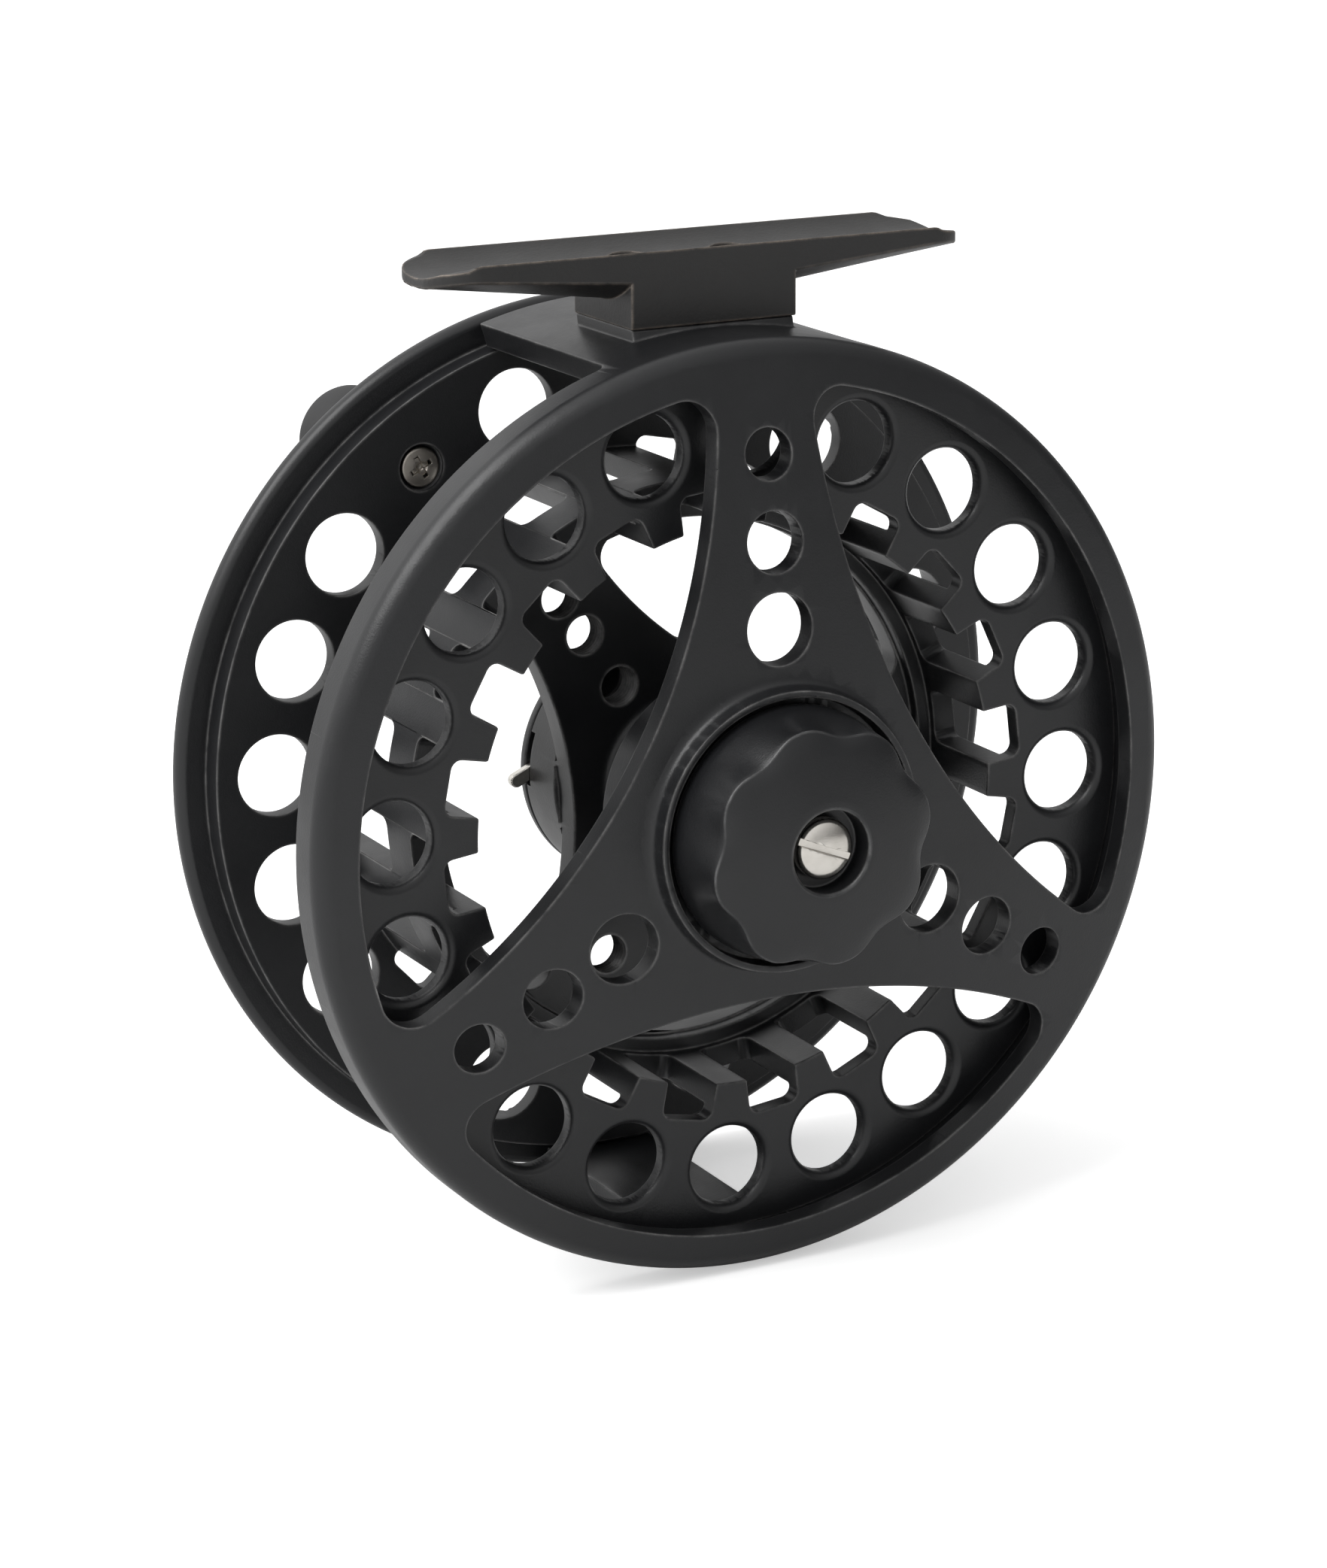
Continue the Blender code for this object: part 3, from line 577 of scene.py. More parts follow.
def bright_metal(name, colour, roughness, centre=(0, 0), scratches=0.3, tarnish=(0.3, 0.27, 0.22), haze=0.35):
    """Plated or machined metal: fine turning marks and scratches, tarnish in patches, and brighter edges."""
    n = Nodes(name)
    turned = n.rings(((centre[0] + SPINDLE_X) * MM, (centre[1] + SPINDLE_Z) * MM), 5000.0)
    scuffs = n.noise(900.0, 5.0, 0.7, (1.0, 1.0, 9.0))
    clouded = n.ramp(n.noise(420.0, 4.0, 0.6), ((0.45, 0.0), (0.85, haze)))
    bright = tuple(min(1.0, c * 1.25) for c in colour)
    base = n.mix(n.edge_mask(0.00012, 0.03, 0.3), n.mix(clouded, colour, tarnish), bright)
    gloss = n.ramp(scuffs, ((0.3, roughness), (0.75, roughness + 0.16)))
    normal = n.bump(scuffs, 0.000008, scratches, n.bump(turned, 0.000008, scratches))
    return n.set(Base_Color=base, Roughness=gloss, Metallic=1.0, Normal=normal)


def carbon_look():
    """Pressed carbon: tows crossing at right angles, dull between them."""
    n = Nodes("carbon_weave")
    tows = []
    for direction in ("X", "Z"):
        wave = n.add("ShaderNodeTexWave", bands_direction=direction)
        wave.inputs["Scale"].default_value = 520.0
        wave.inputs["Distortion"].default_value = 0.6
        n.link(n.where, wave.inputs["Vector"])
        tows.append(wave.outputs["Fac"])
    weave = n.math("MULTIPLY", *tows)
    base = n.mix(n.ramp(weave, ((0.1, 0.0), (0.7, 1.0))), (0.012, 0.012, 0.013), (0.045, 0.045, 0.048))
    gloss = n.ramp(n.noise(700.0, 4.0), ((0.3, 0.5), (0.7, 0.72)))
    return n.set(Base_Color=base, Roughness=gloss, Normal=n.bump(weave, 0.00003, 0.6))


def grip_look():
    """Moulded black grip: a soft pebble, dusty in patches and polished by the hand on its edges."""
    n = Nodes("handle_grip")
    pebble = n.noise(2300.0, 3.0, 0.55)
    dust = n.ramp(n.noise(240.0, 5.0, 0.7), ((0.4, 0.0), (0.8, 0.35)))
    base = n.mix(dust, (0.011, 0.011, 0.012), (0.03, 0.029, 0.028))
    gloss = n.mix(n.edge_mask(0.0003, 0.02, 0.3), (0.55, 0.55, 0.55), (0.36, 0.36, 0.36))
    return n.set(Base_Color=base, Roughness=gloss, Normal=n.bump(pebble, 0.00003, 0.5))


# ---------------------------------------------------------------- frame and foot


def flattened(points):
    """A section with the bowl's shape taken out; it is bent back in at the end."""
    return [(r, y - DOME * r**2) for r, y in points]


def frame_profile():
    """Section of the ring, arms, hub and drum."""
    shoulder_r = 2.4
    centre = (RING_R - shoulder_r, 5.75)
    outer = [(BORE_R, BRIDGE_END_Y), (RING_R, BRIDGE_END_Y)]
    outer += [(centre[0] + u, centre[1] - v) for u, v in arc((0, 0), shoulder_r, 0, 84, 8)]
    lip = [(16.9, -1.5), (16.35, -1.75), (16.05, -2.3), (15.9, LIP_Y), (15.1, LIP_Y), (15.0, -WALL_Y)]
    groove_r, groove_y0, groove_y1 = SNAP_GROOVE
    bore = [(STUD_HOLE_R, -WALL_Y), (STUD_HOLE_R, WALL_Y), (DRUM_BORE_R, WALL_Y), (DRUM_BORE_R, groove_y0)]
    bore += [(groove_r, groove_y0), (groove_r, groove_y1), (DRUM_BORE_R, groove_y1)]
    bore += [(DRUM_BORE_R, DRUM_END_Y), (DRUM_R, DRUM_END_Y)]
    step_y = RING_END_Y + EDGE
    back = [(DRUM_R, DOME_Y + ARM_T), (RING_BORE_R, DOME_Y + ARM_T)]
    behind = [(RING_BORE_R, step_y), (BORE_R, step_y)]
    front = [(49.0, DOME_Y), (17.6, DOME_Y)]
    return flattened(outer) + front + flattened(lip + bore) + back + flattened(behind)


def open_sides():
    """What is cut away behind the ring, leaving the two bridges with a fillet at each foot."""
    (top, top_half), (low, low_half) = BRIDGES
    start_y = RING_END_Y - DOME * RING_BORE_R**2
    outside_r, inside_r = RING_R + 8.8, RING_BORE_R - 3.75
    sides = []
    for start, end in ((top + top_half, low - low_half + 360), (low + low_half, top - top_half)):
        sides.append(arc((0, 0), outside_r, start, end, 120) + arc((0, 0), inside_r, end, start, 60))
    shape = prism(sides, start_y, BRIDGE_END_Y + 20)

    def foot_of_bridge(a, b):
        level = max(abs(a.y - start_y), abs(b.y - start_y)) < 0.01
        return level and (a - b).length > 10

    return round_some(shape, BRIDGE_FILLET, 10, foot_of_bridge)


def make_frame():
    shape = spun(frame_profile())
    half_x, half_y = PEDESTAL - 0.2, FOOT_WIDTH - 0.2
    pad = block((-half_x, FOOT_Y - half_y, 46.0), (half_x, FOOT_Y + half_y, FOOT_BASE_Z - 0.02))
    pad = moved(pad, Matrix.Translation((0, -DOME * FOOT_BASE_Z**2, 0)))
    shape = combine(shape, [pad], "UNION")
    windows = [lens(WINDOW_R, *FRAME_WINDOW, angle + 180) for angle in ARM_ANGLES]
    tools = [prism(windows, -20, 12), open_sides()]
    for radius, hole_r in ARM_HOLES:
        tools.append(bars([polar(radius, angle) for angle in ARM_ANGLES], hole_r, -20, 20, 56))
    keys = [moved(block((11.5, 2.0, -1.8), (14.8, 9.0, 1.8)), about_y(angle)) for angle in ARM_ANGLES]
    tools += [joined(keys), bars([middle_of("click_plunger")], 1.3, -4, 1.2)]
    shape = soften(simplify(combine(shape, tools), 6, 0.0), EDGE, 2)
    grid_cut(shape, 3.0, 54)
    bmesh.ops.triangulate(shape, faces=[face for face in shape.faces if len(face.verts) > 4])
    for vert in shape.verts:
        vert.co.y += DOME * (vert.co.x**2 + vert.co.z**2)
    piece("frame", shape, BLACK)


def foot_blank():
    """The foot's thin wings before the trough is cut: round in plan at the tips, bellied underneath."""
    corner = 5.0
    belly_z, belly_rise = 56.3, 2.9  # lowest line of the underside, and how much higher it is at a tip
    side_rise, side_loss = 2.35, 1.05  # how much higher the sides are than that line; less so at a tip
    stations = [(x, FOOT_WIDTH) for x in (0, 5, 8, PEDESTAL, 13, 18, 23)]
    for x, w in arc((FOOT_LENGTH - corner, FOOT_WIDTH - corner), corner, 90, 0, 10):
        stations.append((x, w))
    stations = [(-x, w) for x, w in stations[:0:-1]] + stations
    shape = bmesh.new()
    across = 24
    rows = []
    for x, half in stations:
        out = max(0.0, (abs(x) - PEDESTAL) / (FOOT_LENGTH - PEDESTAL))
        belly = belly_z + belly_rise * out
        rise = side_rise - side_loss * out
        low, high = [], []
        for i in range(across + 1):
            aside = half * (2 * i / across - 1)
            z = belly + rise * (aside / FOOT_WIDTH) ** 2
            low.append(shape.verts.new((x, FOOT_Y + aside, z)))
            high.append(shape.verts.new((x, FOOT_Y + aside, FOOT_TOP_Z + 2)))
        rows.append((low, high))
    for (low, high), (low_next, high_next) in zip(rows, rows[1:]):
        for i in range(across):
            shape.faces.new((low[i], low[i + 1], low_next[i + 1], low_next[i]))
            shape.faces.new((high[i], high_next[i], high_next[i + 1], high[i + 1]))
        for i in (0, across):
            shape.faces.new((low[i], low_next[i], high_next[i], high[i]))
    for low, high in (rows[0], rows[-1]):
        shape.faces.new(low + high[::-1])
    bmesh.ops.recalc_face_normals(shape, faces=shape.faces)
    return shape


def ramp_cut(side):
    """Takes the trough's walls down towards a tip."""
    above, beyond = FOOT_TOP_Z + 3.7, FOOT_LENGTH + 1.7
    slope = [(27.4, above), (28.0, FOOT_TOP_Z), (29.4, 61.5), (beyond, 60.65), (beyond, above)]
    return prism([[(side * x, z) for x, z in slope]], FOOT_Y - 12, FOOT_Y + 12)


def make_foot():
    """A thin trough with ramped ends, on a pedestal with one screw recess over each screw."""
    shape = foot_blank()
    pedestal = block((-PEDESTAL, FOOT_Y - FOOT_WIDTH, FOOT_BASE_Z), (PEDESTAL, FOOT_Y + FOOT_WIDTH, 60.6))
    shape = combine(shape, [pedestal], "UNION")
    bed = moved(bars([(0, 0)], TROUGH_R, -45, 45, 220), Matrix.Rotation(pi / 2, 4, "Z"))
    bed = moved(bed, Matrix.Translation((0, FOOT_Y, SEAT_Z + TROUGH_R)))
    screw_spots = [middle_of(name)[0] for name in ("foot_screw_front", "foot_screw_rear")]
    recess_r, recess_z, hole_r = 3.0, 57.6, 1.5
    recesses = [stood_up(bars([(0, 0)], recess_r, recess_z, 70, 48), x) for x in screw_spots]
    holes = [stood_up(bars([(0, 0)], hole_r, 50, 60, 32), x) for x in screw_spots]
    shape = combine(shape, [bed, ramp_cut(-1), ramp_cut(1), *recesses, *holes])
    shape = soften(simplify(shape, angle=0.5, merge=0.03), 0.22, 2, angle=30)
    piece("foot", shape, FOOT_PAINT)


def screw_head(radius, y_top, crown, y_under, shank_r, y_end):
    """Profile of a domed screw that points towards +y: head at y_top, shank down to y_end."""
    dome = [(radius * sin(radians(a)), y_top + crown * (1 - cos(radians(a)))) for a in range(0, 91, 15)]
    shank = [(radius, y_under), (shank_r, y_under), (shank_r, y_end - 0.3), (shank_r - 0.3, y_end)]
    shank.append((0, y_end))
    return dome + shank


def slot_tool(width, y0, y1, angle, spot=(0, 0)):
    return moved(block((-8, y0, -width / 2), (8, y1, width / 2)), about_y(angle, spot))


def make_foot_screws():
    for node, angle in (("foot_screw_front", 35.0), ("foot_screw_rear", -20.0)):
        low, high = mm_box(node)
        bottom, top = low.z - ORIGIN.z, high.z - ORIGIN.z
        profile = [(r, -y) for r, y in screw_head(2.0, -top, 0.55, -top + 1.4, 1.2, -bottom)]
        shape = combine(spun(profile, 64, closed=False), [slot_tool(0.6, top - 0.65, top + 1, angle)])
        piece(node, stood_up(soften(shape, 0.06, 2), middle_of(node)[0]), DARK_STEEL)


# ---------------------------------------------------------------- drag


def make_knob():
    """A round knob; eight shallow scoops are deepest at its face and fade out towards its base."""
    y1 = span_y("drag_knob")[1]
    side_y = y1 - 1.4
    edge_r = 13.55
    recess_r, recess_y, recess_round = 4.64, -9.4, 0.35
    scoop_count, scoop_depth = 8, 1.15

    def crown(r):
        """The face is slightly domed: its middle lies furthest forward."""
        return -12.72 + 0.0108 * r**2

    height = side_y - crown(edge_r)
    profile = [(KNOB_R - 0.35, y1), (KNOB_R, y1 - 0.35), (KNOB_R, side_y)]
    for t in (0.15, 0.3, 0.45, 0.6, 0.75, 0.88, 1):
        profile.append((KNOB_R + (edge_r - KNOB_R) * t, side_y - height * t))
    profile += [(r, crown(r)) for r in (11.3, 10.2, 9.0, 8.0, 6.8, 5.9)]
    for a in range(0, 91, 15):
        r = recess_r + recess_round * (1 - sin(radians(a)))
        profile.append((r, crown(recess_r) + recess_round * (1 - cos(radians(a)))))
    profile += [(recess_r, recess_y), (STUD_HOLE_R, recess_y), (STUD_HOLE_R, y1)]
    shape = spun(profile, 2 * ROUND)
    for vert in shape.verts:
        r = sqrt(vert.co.x**2 + vert.co.z**2)
        up = min(1.0, (side_y - vert.co.y) / height)
        if r > 12 and up > 0:
            angle = atan2(vert.co.z, vert.co.x) - radians(SCOOP_ANGLE)
            dip = scoop_depth * up**1.4 * (0.5 + 0.5 * cos(scoop_count * angle)) ** 1.3
            vert.co.x *= (r - dip) / r
            vert.co.z *= (r - dip) / r
    piece("drag_knob", soften(shape, 0.13, 2, angle=40), KNOB_BLACK)


def make_knob_screw():
    y0, y1 = span_y("knob_screw")
    shape = spun(screw_head(3.4, y0 - 0.45, 1.1, -9.72, 1.3, y1), 120, closed=False)
    slot = slot_tool(0.8, y0 - 2, y0 + 0.6, SCREW_SLOT_ANGLE)
    piece("knob_screw", soften(combine(shape, [slot]), 0.07, 2, angle=40), NICKEL)


def ridged(radius, depth, pitch, y0, y1, inwards=True):
    """Points of a profile's straight side from y0 to y1 with a screw thread's ridges."""
    way = -1 if inwards else 1
    count = int((y1 - y0) / pitch)
    points = [(radius, y0)]
    for i in range(count):
        y = y0 + pitch * i
        crest = (radius + way * depth, y + pitch * 0.5)
        points += [(radius, y + pitch * 0.15), crest, (radius, y + pitch * 0.85)]
    return points + [(radius, y1)]


def make_stud():
    y0, y1 = span_y("adjuster_stud")
    shank = ridged(2.4, 0.25, 0.6, y0 + 0.2, 1.2)
    profile = [(0, y1), (4.8, y1), (5.0, y1 - 0.2), (5.0, y1 - 0.6), (2.4, y1 - 0.6)]
    profile += [(r, y) for r, y in reversed(shank)]
    profile += [(2.2, y0), (1.6, y0), (1.6, -4.5), (0, -4.5)]
    piece("adjuster_stud", spun(profile, 72, closed=False), STEEL, 30)


def make_washers():
    for node, tall in (("spring_washer_front", False), ("spring_washer_rear", True)):
        y0, y1 = span_y(node)
        outer, inner, thick = radius_of(node), 3.4, 0.48
        profile = [(outer, y0 + thick), (outer, y0), (inner, y1 - thick), (inner, y1)]
        if tall:
            profile = [(outer, y1 - thick), (outer, y1), (inner, y0 + thick), (inner, y0)]
        notches = [moved(block((6.2, y0 - 1, -0.35), (9, y1 + 1, 0.35)), about_y(60 * i)) for i in range(6)]
        shape = combine(spun(profile, 120), [joined(notches)])
        piece(node, soften(shape, 0.08, 2), STEEL)


def make_plate():
    """The pressure plate, keyed to the drum by three tabs and lightened by a ring of holes."""
    y0, y1 = span_y("pressure_plate")
    shape = ring(12.7, 3.6, y0, y1)
    tabs = [moved(block((11.5, y0, -1.4), (14.2, y1, 1.4)), about_y(angle)) for angle in ARM_ANGLES]
    shape = combine(shape, [joined(tabs)], "UNION")
    shape = combine(shape, [bars(around(9.6, 6, 0), 1.1, y0 - 1, y1 + 1, 32)])
    piece("pressure_plate", soften(simplify(shape, 6, 0.0), 0.12, 2), STEEL)


def make_discs():
    for node in ("friction_disc_front", "friction_disc_rear"):
        y0, y1 = span_y(node)
        grooves = []
        for i in range(8):
            grooves.append(moved(block((4, y0 - 0.5, -0.25), (14, y0 + 0.12, 0.25)), about_y(45 * i)))
        shape = combine(ring(radius_of(node), 5.0, y0, y1), [joined(grooves)])
        piece(node, soften(shape, 0.06, 2), CARBON)
    y0, y1 = span_y("brake_rotor")
    holes = bars(around(8.4, 8), 0.9, y0 - 1, y1 + 1, 32)
    shape = combine(ring(radius_of("brake_rotor"), 3.3, y0, y1), [holes])
    piece("brake_rotor", soften(simplify(shape, 4, 0.0), 0.1, 2), STEEL)


def make_cover():
    """The lid of the drum: a seat for the bearing and four holes for a pin spanner."""
    y0, y1 = span_y("drag_cover")
    profile = [(7.6, y1), (7.6, 9.6), (12.7, 9.6), (12.7, y0), (4.2, y0), (4.2, 9.4), (5.4, 9.4), (5.4, y1)]
    shape = combine(spun(profile, 120), [bars(around(10.2, 4, 45), 0.8, 9.2, 11, 24)])
    piece("drag_cover", soften(simplify(shape, 2, 0.0), 0.15, 2), BLACK)
    y0, y1 = span_y("retaining_ring")
    outer, inner = 13.6, 11.9
    outline = arc((0, 0), outer, 286, 614, 96) + arc((0, 0), inner, 614, 286, 96)
    lugs = [polar(11.5, angle) for angle in (289, 611)]
    shape = combine(prism([outline], y0, y1), [bars(lugs, 1.35, y0, y1, 40)], "UNION")
    shape = combine(shape, [bars(lugs, 0.5, y0 - 1, y1 + 1, 24)])
    piece("retaining_ring", soften(simplify(shape), 0.08, 2), DARK_STEEL)


def make_plunger():
    y0, y1 = span_y("click_plunger")
    profile = [(0, y1), (1.0, y1), (1.0, y1 - 1.0), (0.85, y1 - 1.1), (0.85, y1 - 1.3), (1.0, y1 - 1.4)]
    profile += [(r, y0 + 1.0 - y) for r, y in arc((0, 0), 1.0, 0, 90, 8)]
    piece("click_plunger", spun(profile, 48, middle_of("click_plunger"), closed=False), STEEL, 30)


def make_spindle():
    y0, y1 = span_y("spindle")
    latch_y0, latch_y1 = span_y("latch_plate")
    r, groove_r, ring_groove_r = 3.0, 2.3, 2.85
    profile = [(0, y1), (2.2, y1), (r, y1 - 0.6), (r, latch_y1 + 0.35), (groove_r, latch_y1 + 0.3)]
    profile += [(groove_r, latch_y0 - 0.3), (r, latch_y0 - 0.35)]
    profile += [(r, 14.0), (ring_groove_r, 13.85), (ring_groove_r, 13.25), (r, 13.1)]
    profile += [(r, y0 + 0.3), (2.7, y0), (0, y0)]
    piece("spindle", spun(profile, 96, closed=False), POLISHED_STEEL, 30)


def make_bearings():
    for node in ("spindle_bearing", "spool_bearing", "clutch_bearing"):
        y0, y1 = span_y(node)
        outer, inner = radius_of(node), 3.3
        pitch = (outer + inner) / 2
        races = [ring(outer, outer - 0.5, y0, y1, 72), ring(inner + 0.5, inner, y0, y1, 72)]
        if node == "clutch_bearing":
            rolling = bars(around(pitch, 12), 0.44, y0 + 0.6, y1 - 0.6, 20)
        else:
            rolling = balls(around(pitch, 11), 0.52, (y0 + y1) / 2)
        races += [ring(pitch + 0.25, pitch - 0.25, y, y + 0.3, 72) for y in (y0 + 0.2, y1 - 0.5)]
        shape = joined([soften(race, 0.1, 2) for race in races] + [rolling])
        piece(node, shape, POLISHED_STEEL)


# ---------------------------------------------------------------- spool


def spool_profile():
    web_back, flange_back = WEB_Y + FLANGE_T, FLANGE_Y + FLANGE_T
    rim = [(STEP_R - 2.2, SPOOL_Y1), (RIM_R - 0.5, SPOOL_Y1), (RIM_R, SPOOL_Y1 - 0.5)]
    rim += [(RIM_R, RIM_Y + 0.9), (RIM_R - 0.25, RIM_Y + 0.4), (RIM_R - 0.85, RIM_Y)]
    rim += [(STEP_R, RIM_Y), (STEP_R, WEB_Y)]
    bed = [(ARBOR_R, WEB_Y), (ARBOR_R, flange_back), (FLANGE_R, flange_back), (FLANGE_R, FLANGE_Y)]
    near = [(ARBOR_BORE_R, FLANGE_Y), (ARBOR_BORE_R, BAND_Y[0]), (BAND_R, BAND_Y[0])]
    hub = [(BAND_R, SPIDER_Y[0]), (10.6, SPIDER_Y[0]), (9.8, 21.6), (9.2, 20.8), (8.8, 19.4)]
    hub += [(HUB_R, 17.5), (HUB_R, HUB_Y), (HUB_BORE_R, HUB_Y), (HUB_BORE_R, POCKET_Y)]
    hub += [(POCKET_R, POCKET_Y), (POCKET_R, CAP_SEAM_Y), (CAP_R, CAP_SEAM_Y)]
    hub += [(CAP_R, SPIDER_Y[1]), (BAND_R, SPIDER_Y[1])]
    far = [(ARBOR_BORE_R, BAND_Y[1]), (ARBOR_BORE_R, web_back), (STEP_R - 3.4, web_back)]
    return rim + bed + near + hub + far


def slots(y0, y1):
    """The gaps between the arbor's ribs; the ends towards the middle band are rounded."""
    made = []
    inner = y1 if y0 < 15 else y0

    def rounded(a, b):
        root = abs(a.z - SLOT_R) < 0.01 and abs(b.z - SLOT_R) < 0.01 and abs(a.x - b.x) < 0.01
        end = abs(a.y - inner) < 0.01 and abs(b.y - inner) < 0.01 and abs(a.x - b.x) < 0.01
        return root or end

    for i in range(HOLE_COUNT):
        shape = block((-SLOT_W / 2, y0, 27.0), (SLOT_W / 2, y1, SLOT_R))
        round_some(shape, 1.15, 5, rounded)
        made.append(moved(shape, about_y(FIRST_HOLE + 360 * (i + 0.5) / HOLE_COUNT - 90)))
    return joined(made)


def hollow_chamfers(spots):
    """The near flange's holes open out in a hollow curve."""
    hollow = [(5.7 - u, FLANGE_Y + 1.05 - v) for u, v in arc((0, 0), 1.05, 90, 0, 6)]
    profile = [(0, FLANGE_Y - 1), (5.7, FLANGE_Y - 1)] + hollow + [(0, FLANGE_Y + 1.05)]
    return joined([spun(profile, 72, spot, False) for spot in spots])


def make_spool():
    shape = spun(spool_profile())
    arms = [HANDLE_ANGLE + 120 * i for i in range(3)]
    openings = [lens(BAND_R - 0.3, *SPIDER_WINDOW, angle + 60) for angle in arms]
    spots = around(HOLE_PITCH_R, HOLE_COUNT, FIRST_HOLE)
    far = spots[:6] + spots[7:]
    tools = [prism(openings, SPIDER_Y[0] - 3, SPIDER_Y[1] + 0.2)]
    tools += [slots(FLANGE_Y - 4, 19.8), slots(26.2, WEB_Y + 8)]
    tools.append(bars(spots, HOLE_R, FLANGE_Y - 2, FLANGE_Y + 5, 72))
    tools.append(bars(far, HOLE_R, WEB_Y - 2, WEB_Y + 6, 72))
    shape = simplify(combine(shape, tools), HOLE_COUNT // 2, FIRST_HOLE)
    shape = soften(shape, 0.28, 2)

    holes = [polar(radius, angle) for radius in (14.2, 21.9, 27.4) for angle in arms]
    low_y, high_y = SPIDER_Y[0] - 1, SPIDER_Y[1] + 1
    thread = [(0, low_y)] + ridged(2.4, 0.22, 0.62, low_y, high_y) + [(0, high_y)]
    tools = [joined([spun(thread, 48, spot, False) for spot in holes])]
    sink = [(0, WEB_Y - 1), (2.75, WEB_Y - 1), (2.75, WEB_Y + 0.55), (2.4, WEB_Y + 0.75), (1.6, WEB_Y + 1.4)]
    sink += [(1.6, WEB_Y + 5), (0, WEB_Y + 5)]
    tools.append(spun(sink, 64, HANDLE, False))
    tools.append(lever_notch())
    shape = combine(shape, tools)
    shape = combine(shape, [hollow_chamfers(spots)])
    piece("spool", shape, BLACK, 34)


def lever_notch():
    """The opening in the hub's rear edge that the lever swings in."""
    low_y = span_y("latch_plate")[1]
    near = arc((0, 0), 15.5, 161, 186, 12)
    return prism([near + arc((0, 0), 12.6, 186, 161, 12)], low_y, CAP_SEAM_Y + 1)


def make_cap():
    y0, y1 = span_y("spool_cap")
    bore_r, line_y = 3.6, y1 - 0.25
    profile = [(CAP_R, y1), (CAP_R, y0), (bore_r, y0), (bore_r, y1)]
    profile += [(8.0, y1), (8.2, line_y), (8.8, line_y), (9.0, y1)]
    shape = combine(spun(profile), [bars(CAP_SCREWS, 1.15, y0 - 1, y1 + 1, 40)])
    piece("spool_cap", soften(simplify(shape, 3, 100.0), 0.25, 3), CAP_BLACK)
    for number, angle in ((1, 20.0), (2, 75.0), (3, -40.0)):
        node = f"cap_screw_{number}"
        low, high = span_y(node)
        profile = [(r, -y) for r, y in screw_head(1.6, -high, 0.45, -high + 0.9, 0.6, -low)]
        shape = combine(spun(profile, 56, closed=False), [slot_tool(0.4, high - 0.4, high + 1, angle)])
        piece(node, moved(soften(shape, 0.05, 2), about_y(0, CAP_SCREWS[number - 1])), STEEL)


# ---------------------------------------------------------------- release


def make_lever():
    """A bent lever: the round-ended arm outside the hub, and the short crank whose pin slides the latch."""
    y0, y1 = span_y("release_lever")
    base_y = span_y("latch_plate")[1] + 0.12
    top_y = y1 + 0.1
    tip = (PIVOT[0] + polar(LEVER_REACH, LEVER_ANGLE)[0], PIVOT[1] + polar(LEVER_REACH, LEVER_ANGLE)[1])
    elbow = (tip[0] - polar(4.4, TIP_ANGLE)[0], tip[1] - polar(4.4, TIP_ANGLE)[1])
    pin = (PIVOT[0] + 1.5, PIVOT[1] - 2.0)
    arms = [rounded_bar(elbow, tip, 0.8), rounded_bar(PIVOT, elbow, 0.95), rounded_bar(PIVOT, pin, 0.9)]
    boss = bars([PIVOT], 1.5, base_y, top_y, 64)
    shape = combine(boss, [prism([arm], base_y, top_y) for arm in arms], "UNION")
    shape = combine(shape, [bars([PIVOT], 0.85, base_y - 1, top_y + 1, 32)])
    shape = soften(simplify(shape), 0.2, 3, angle=40)
    drive = bars([pin], 0.5, y0, base_y + 0.3, 24)
    piece("release_lever", combine(shape, [drive], "UNION"), NICKEL)
    y0, y1 = span_y("lever_pivot_pin")
    profile = [(0, y1), (0.45, y1), (0.6, y1 - 0.15), (0.6, y0 + 0.2), (0.4, y0), (0, y0)]
    piece("lever_pivot_pin", spun(profile, 40, PIVOT, closed=False), POLISHED_STEEL)


def make_latch():
    y0, y1 = span_y("latch_plate")
    fork_x = PIVOT[0] + 1.5
    tail = [(-1.8, -4.5), (-1.8, -8.6), (-0.4, -8.6), (-0.4, -4.5)]
    outline = [(-10.6, 3.6), (-10.6, 1.0), (-5.0, -4.5)] + tail
    outline += arc((3.6, -2.5), 2.0, -90, 0, 6) + arc((3.6, 2.6), 2.0, 0, 90, 6)
    left, right = fork_x - 0.75, fork_x + 0.75
    outline += [(-6.0, 4.6), (right, 3.6), (right, 1.5), (left, 1.5), (left, 3.6)]
    shape = combine(prism([outline], y0, y1), [bars([(0.75, 0)], 3.3, y0 - 1, y1 + 1, 72)])
    piece("latch_plate", soften(simplify(shape), 0.1, 2), STEEL)


def make_spring():
    """A coil of bevelled wire with closed ends."""
    low, high = reach("latch_spring")
    middle = (low + high) / 2
    wire_r, coils, steps = 0.22, 5, 24
    coil_r = (high.y - low.y) / 2 - wire_r
    curve = bpy.data.curves.new("coil", "CURVE")
    curve.dimensions = "3D"
    curve.bevel_depth = wire_r
    curve.bevel_resolution = 3
    curve.use_fill_caps = True
    spline = curve.splines.new("POLY")
    spline.points.add(coils * steps)
    for i, point in enumerate(spline.points):
        u, v = polar(coil_r, 360 * i / steps)
        along = low.x + wire_r + (high.x - low.x - 2 * wire_r) * i / (coils * steps)
        point.co = (along, middle.y + u, middle.z + v, 1)
    coil = bpy.data.objects.new("coil", curve)
    bpy.context.scene.collection.objects.link(coil)
    shape = as_shape(coil)
    bmesh.ops.remove_doubles(shape, verts=shape.verts, dist=1e-4)
    piece("latch_spring", shape, POLISHED_STEEL)


# ---------------------------------------------------------------- handle


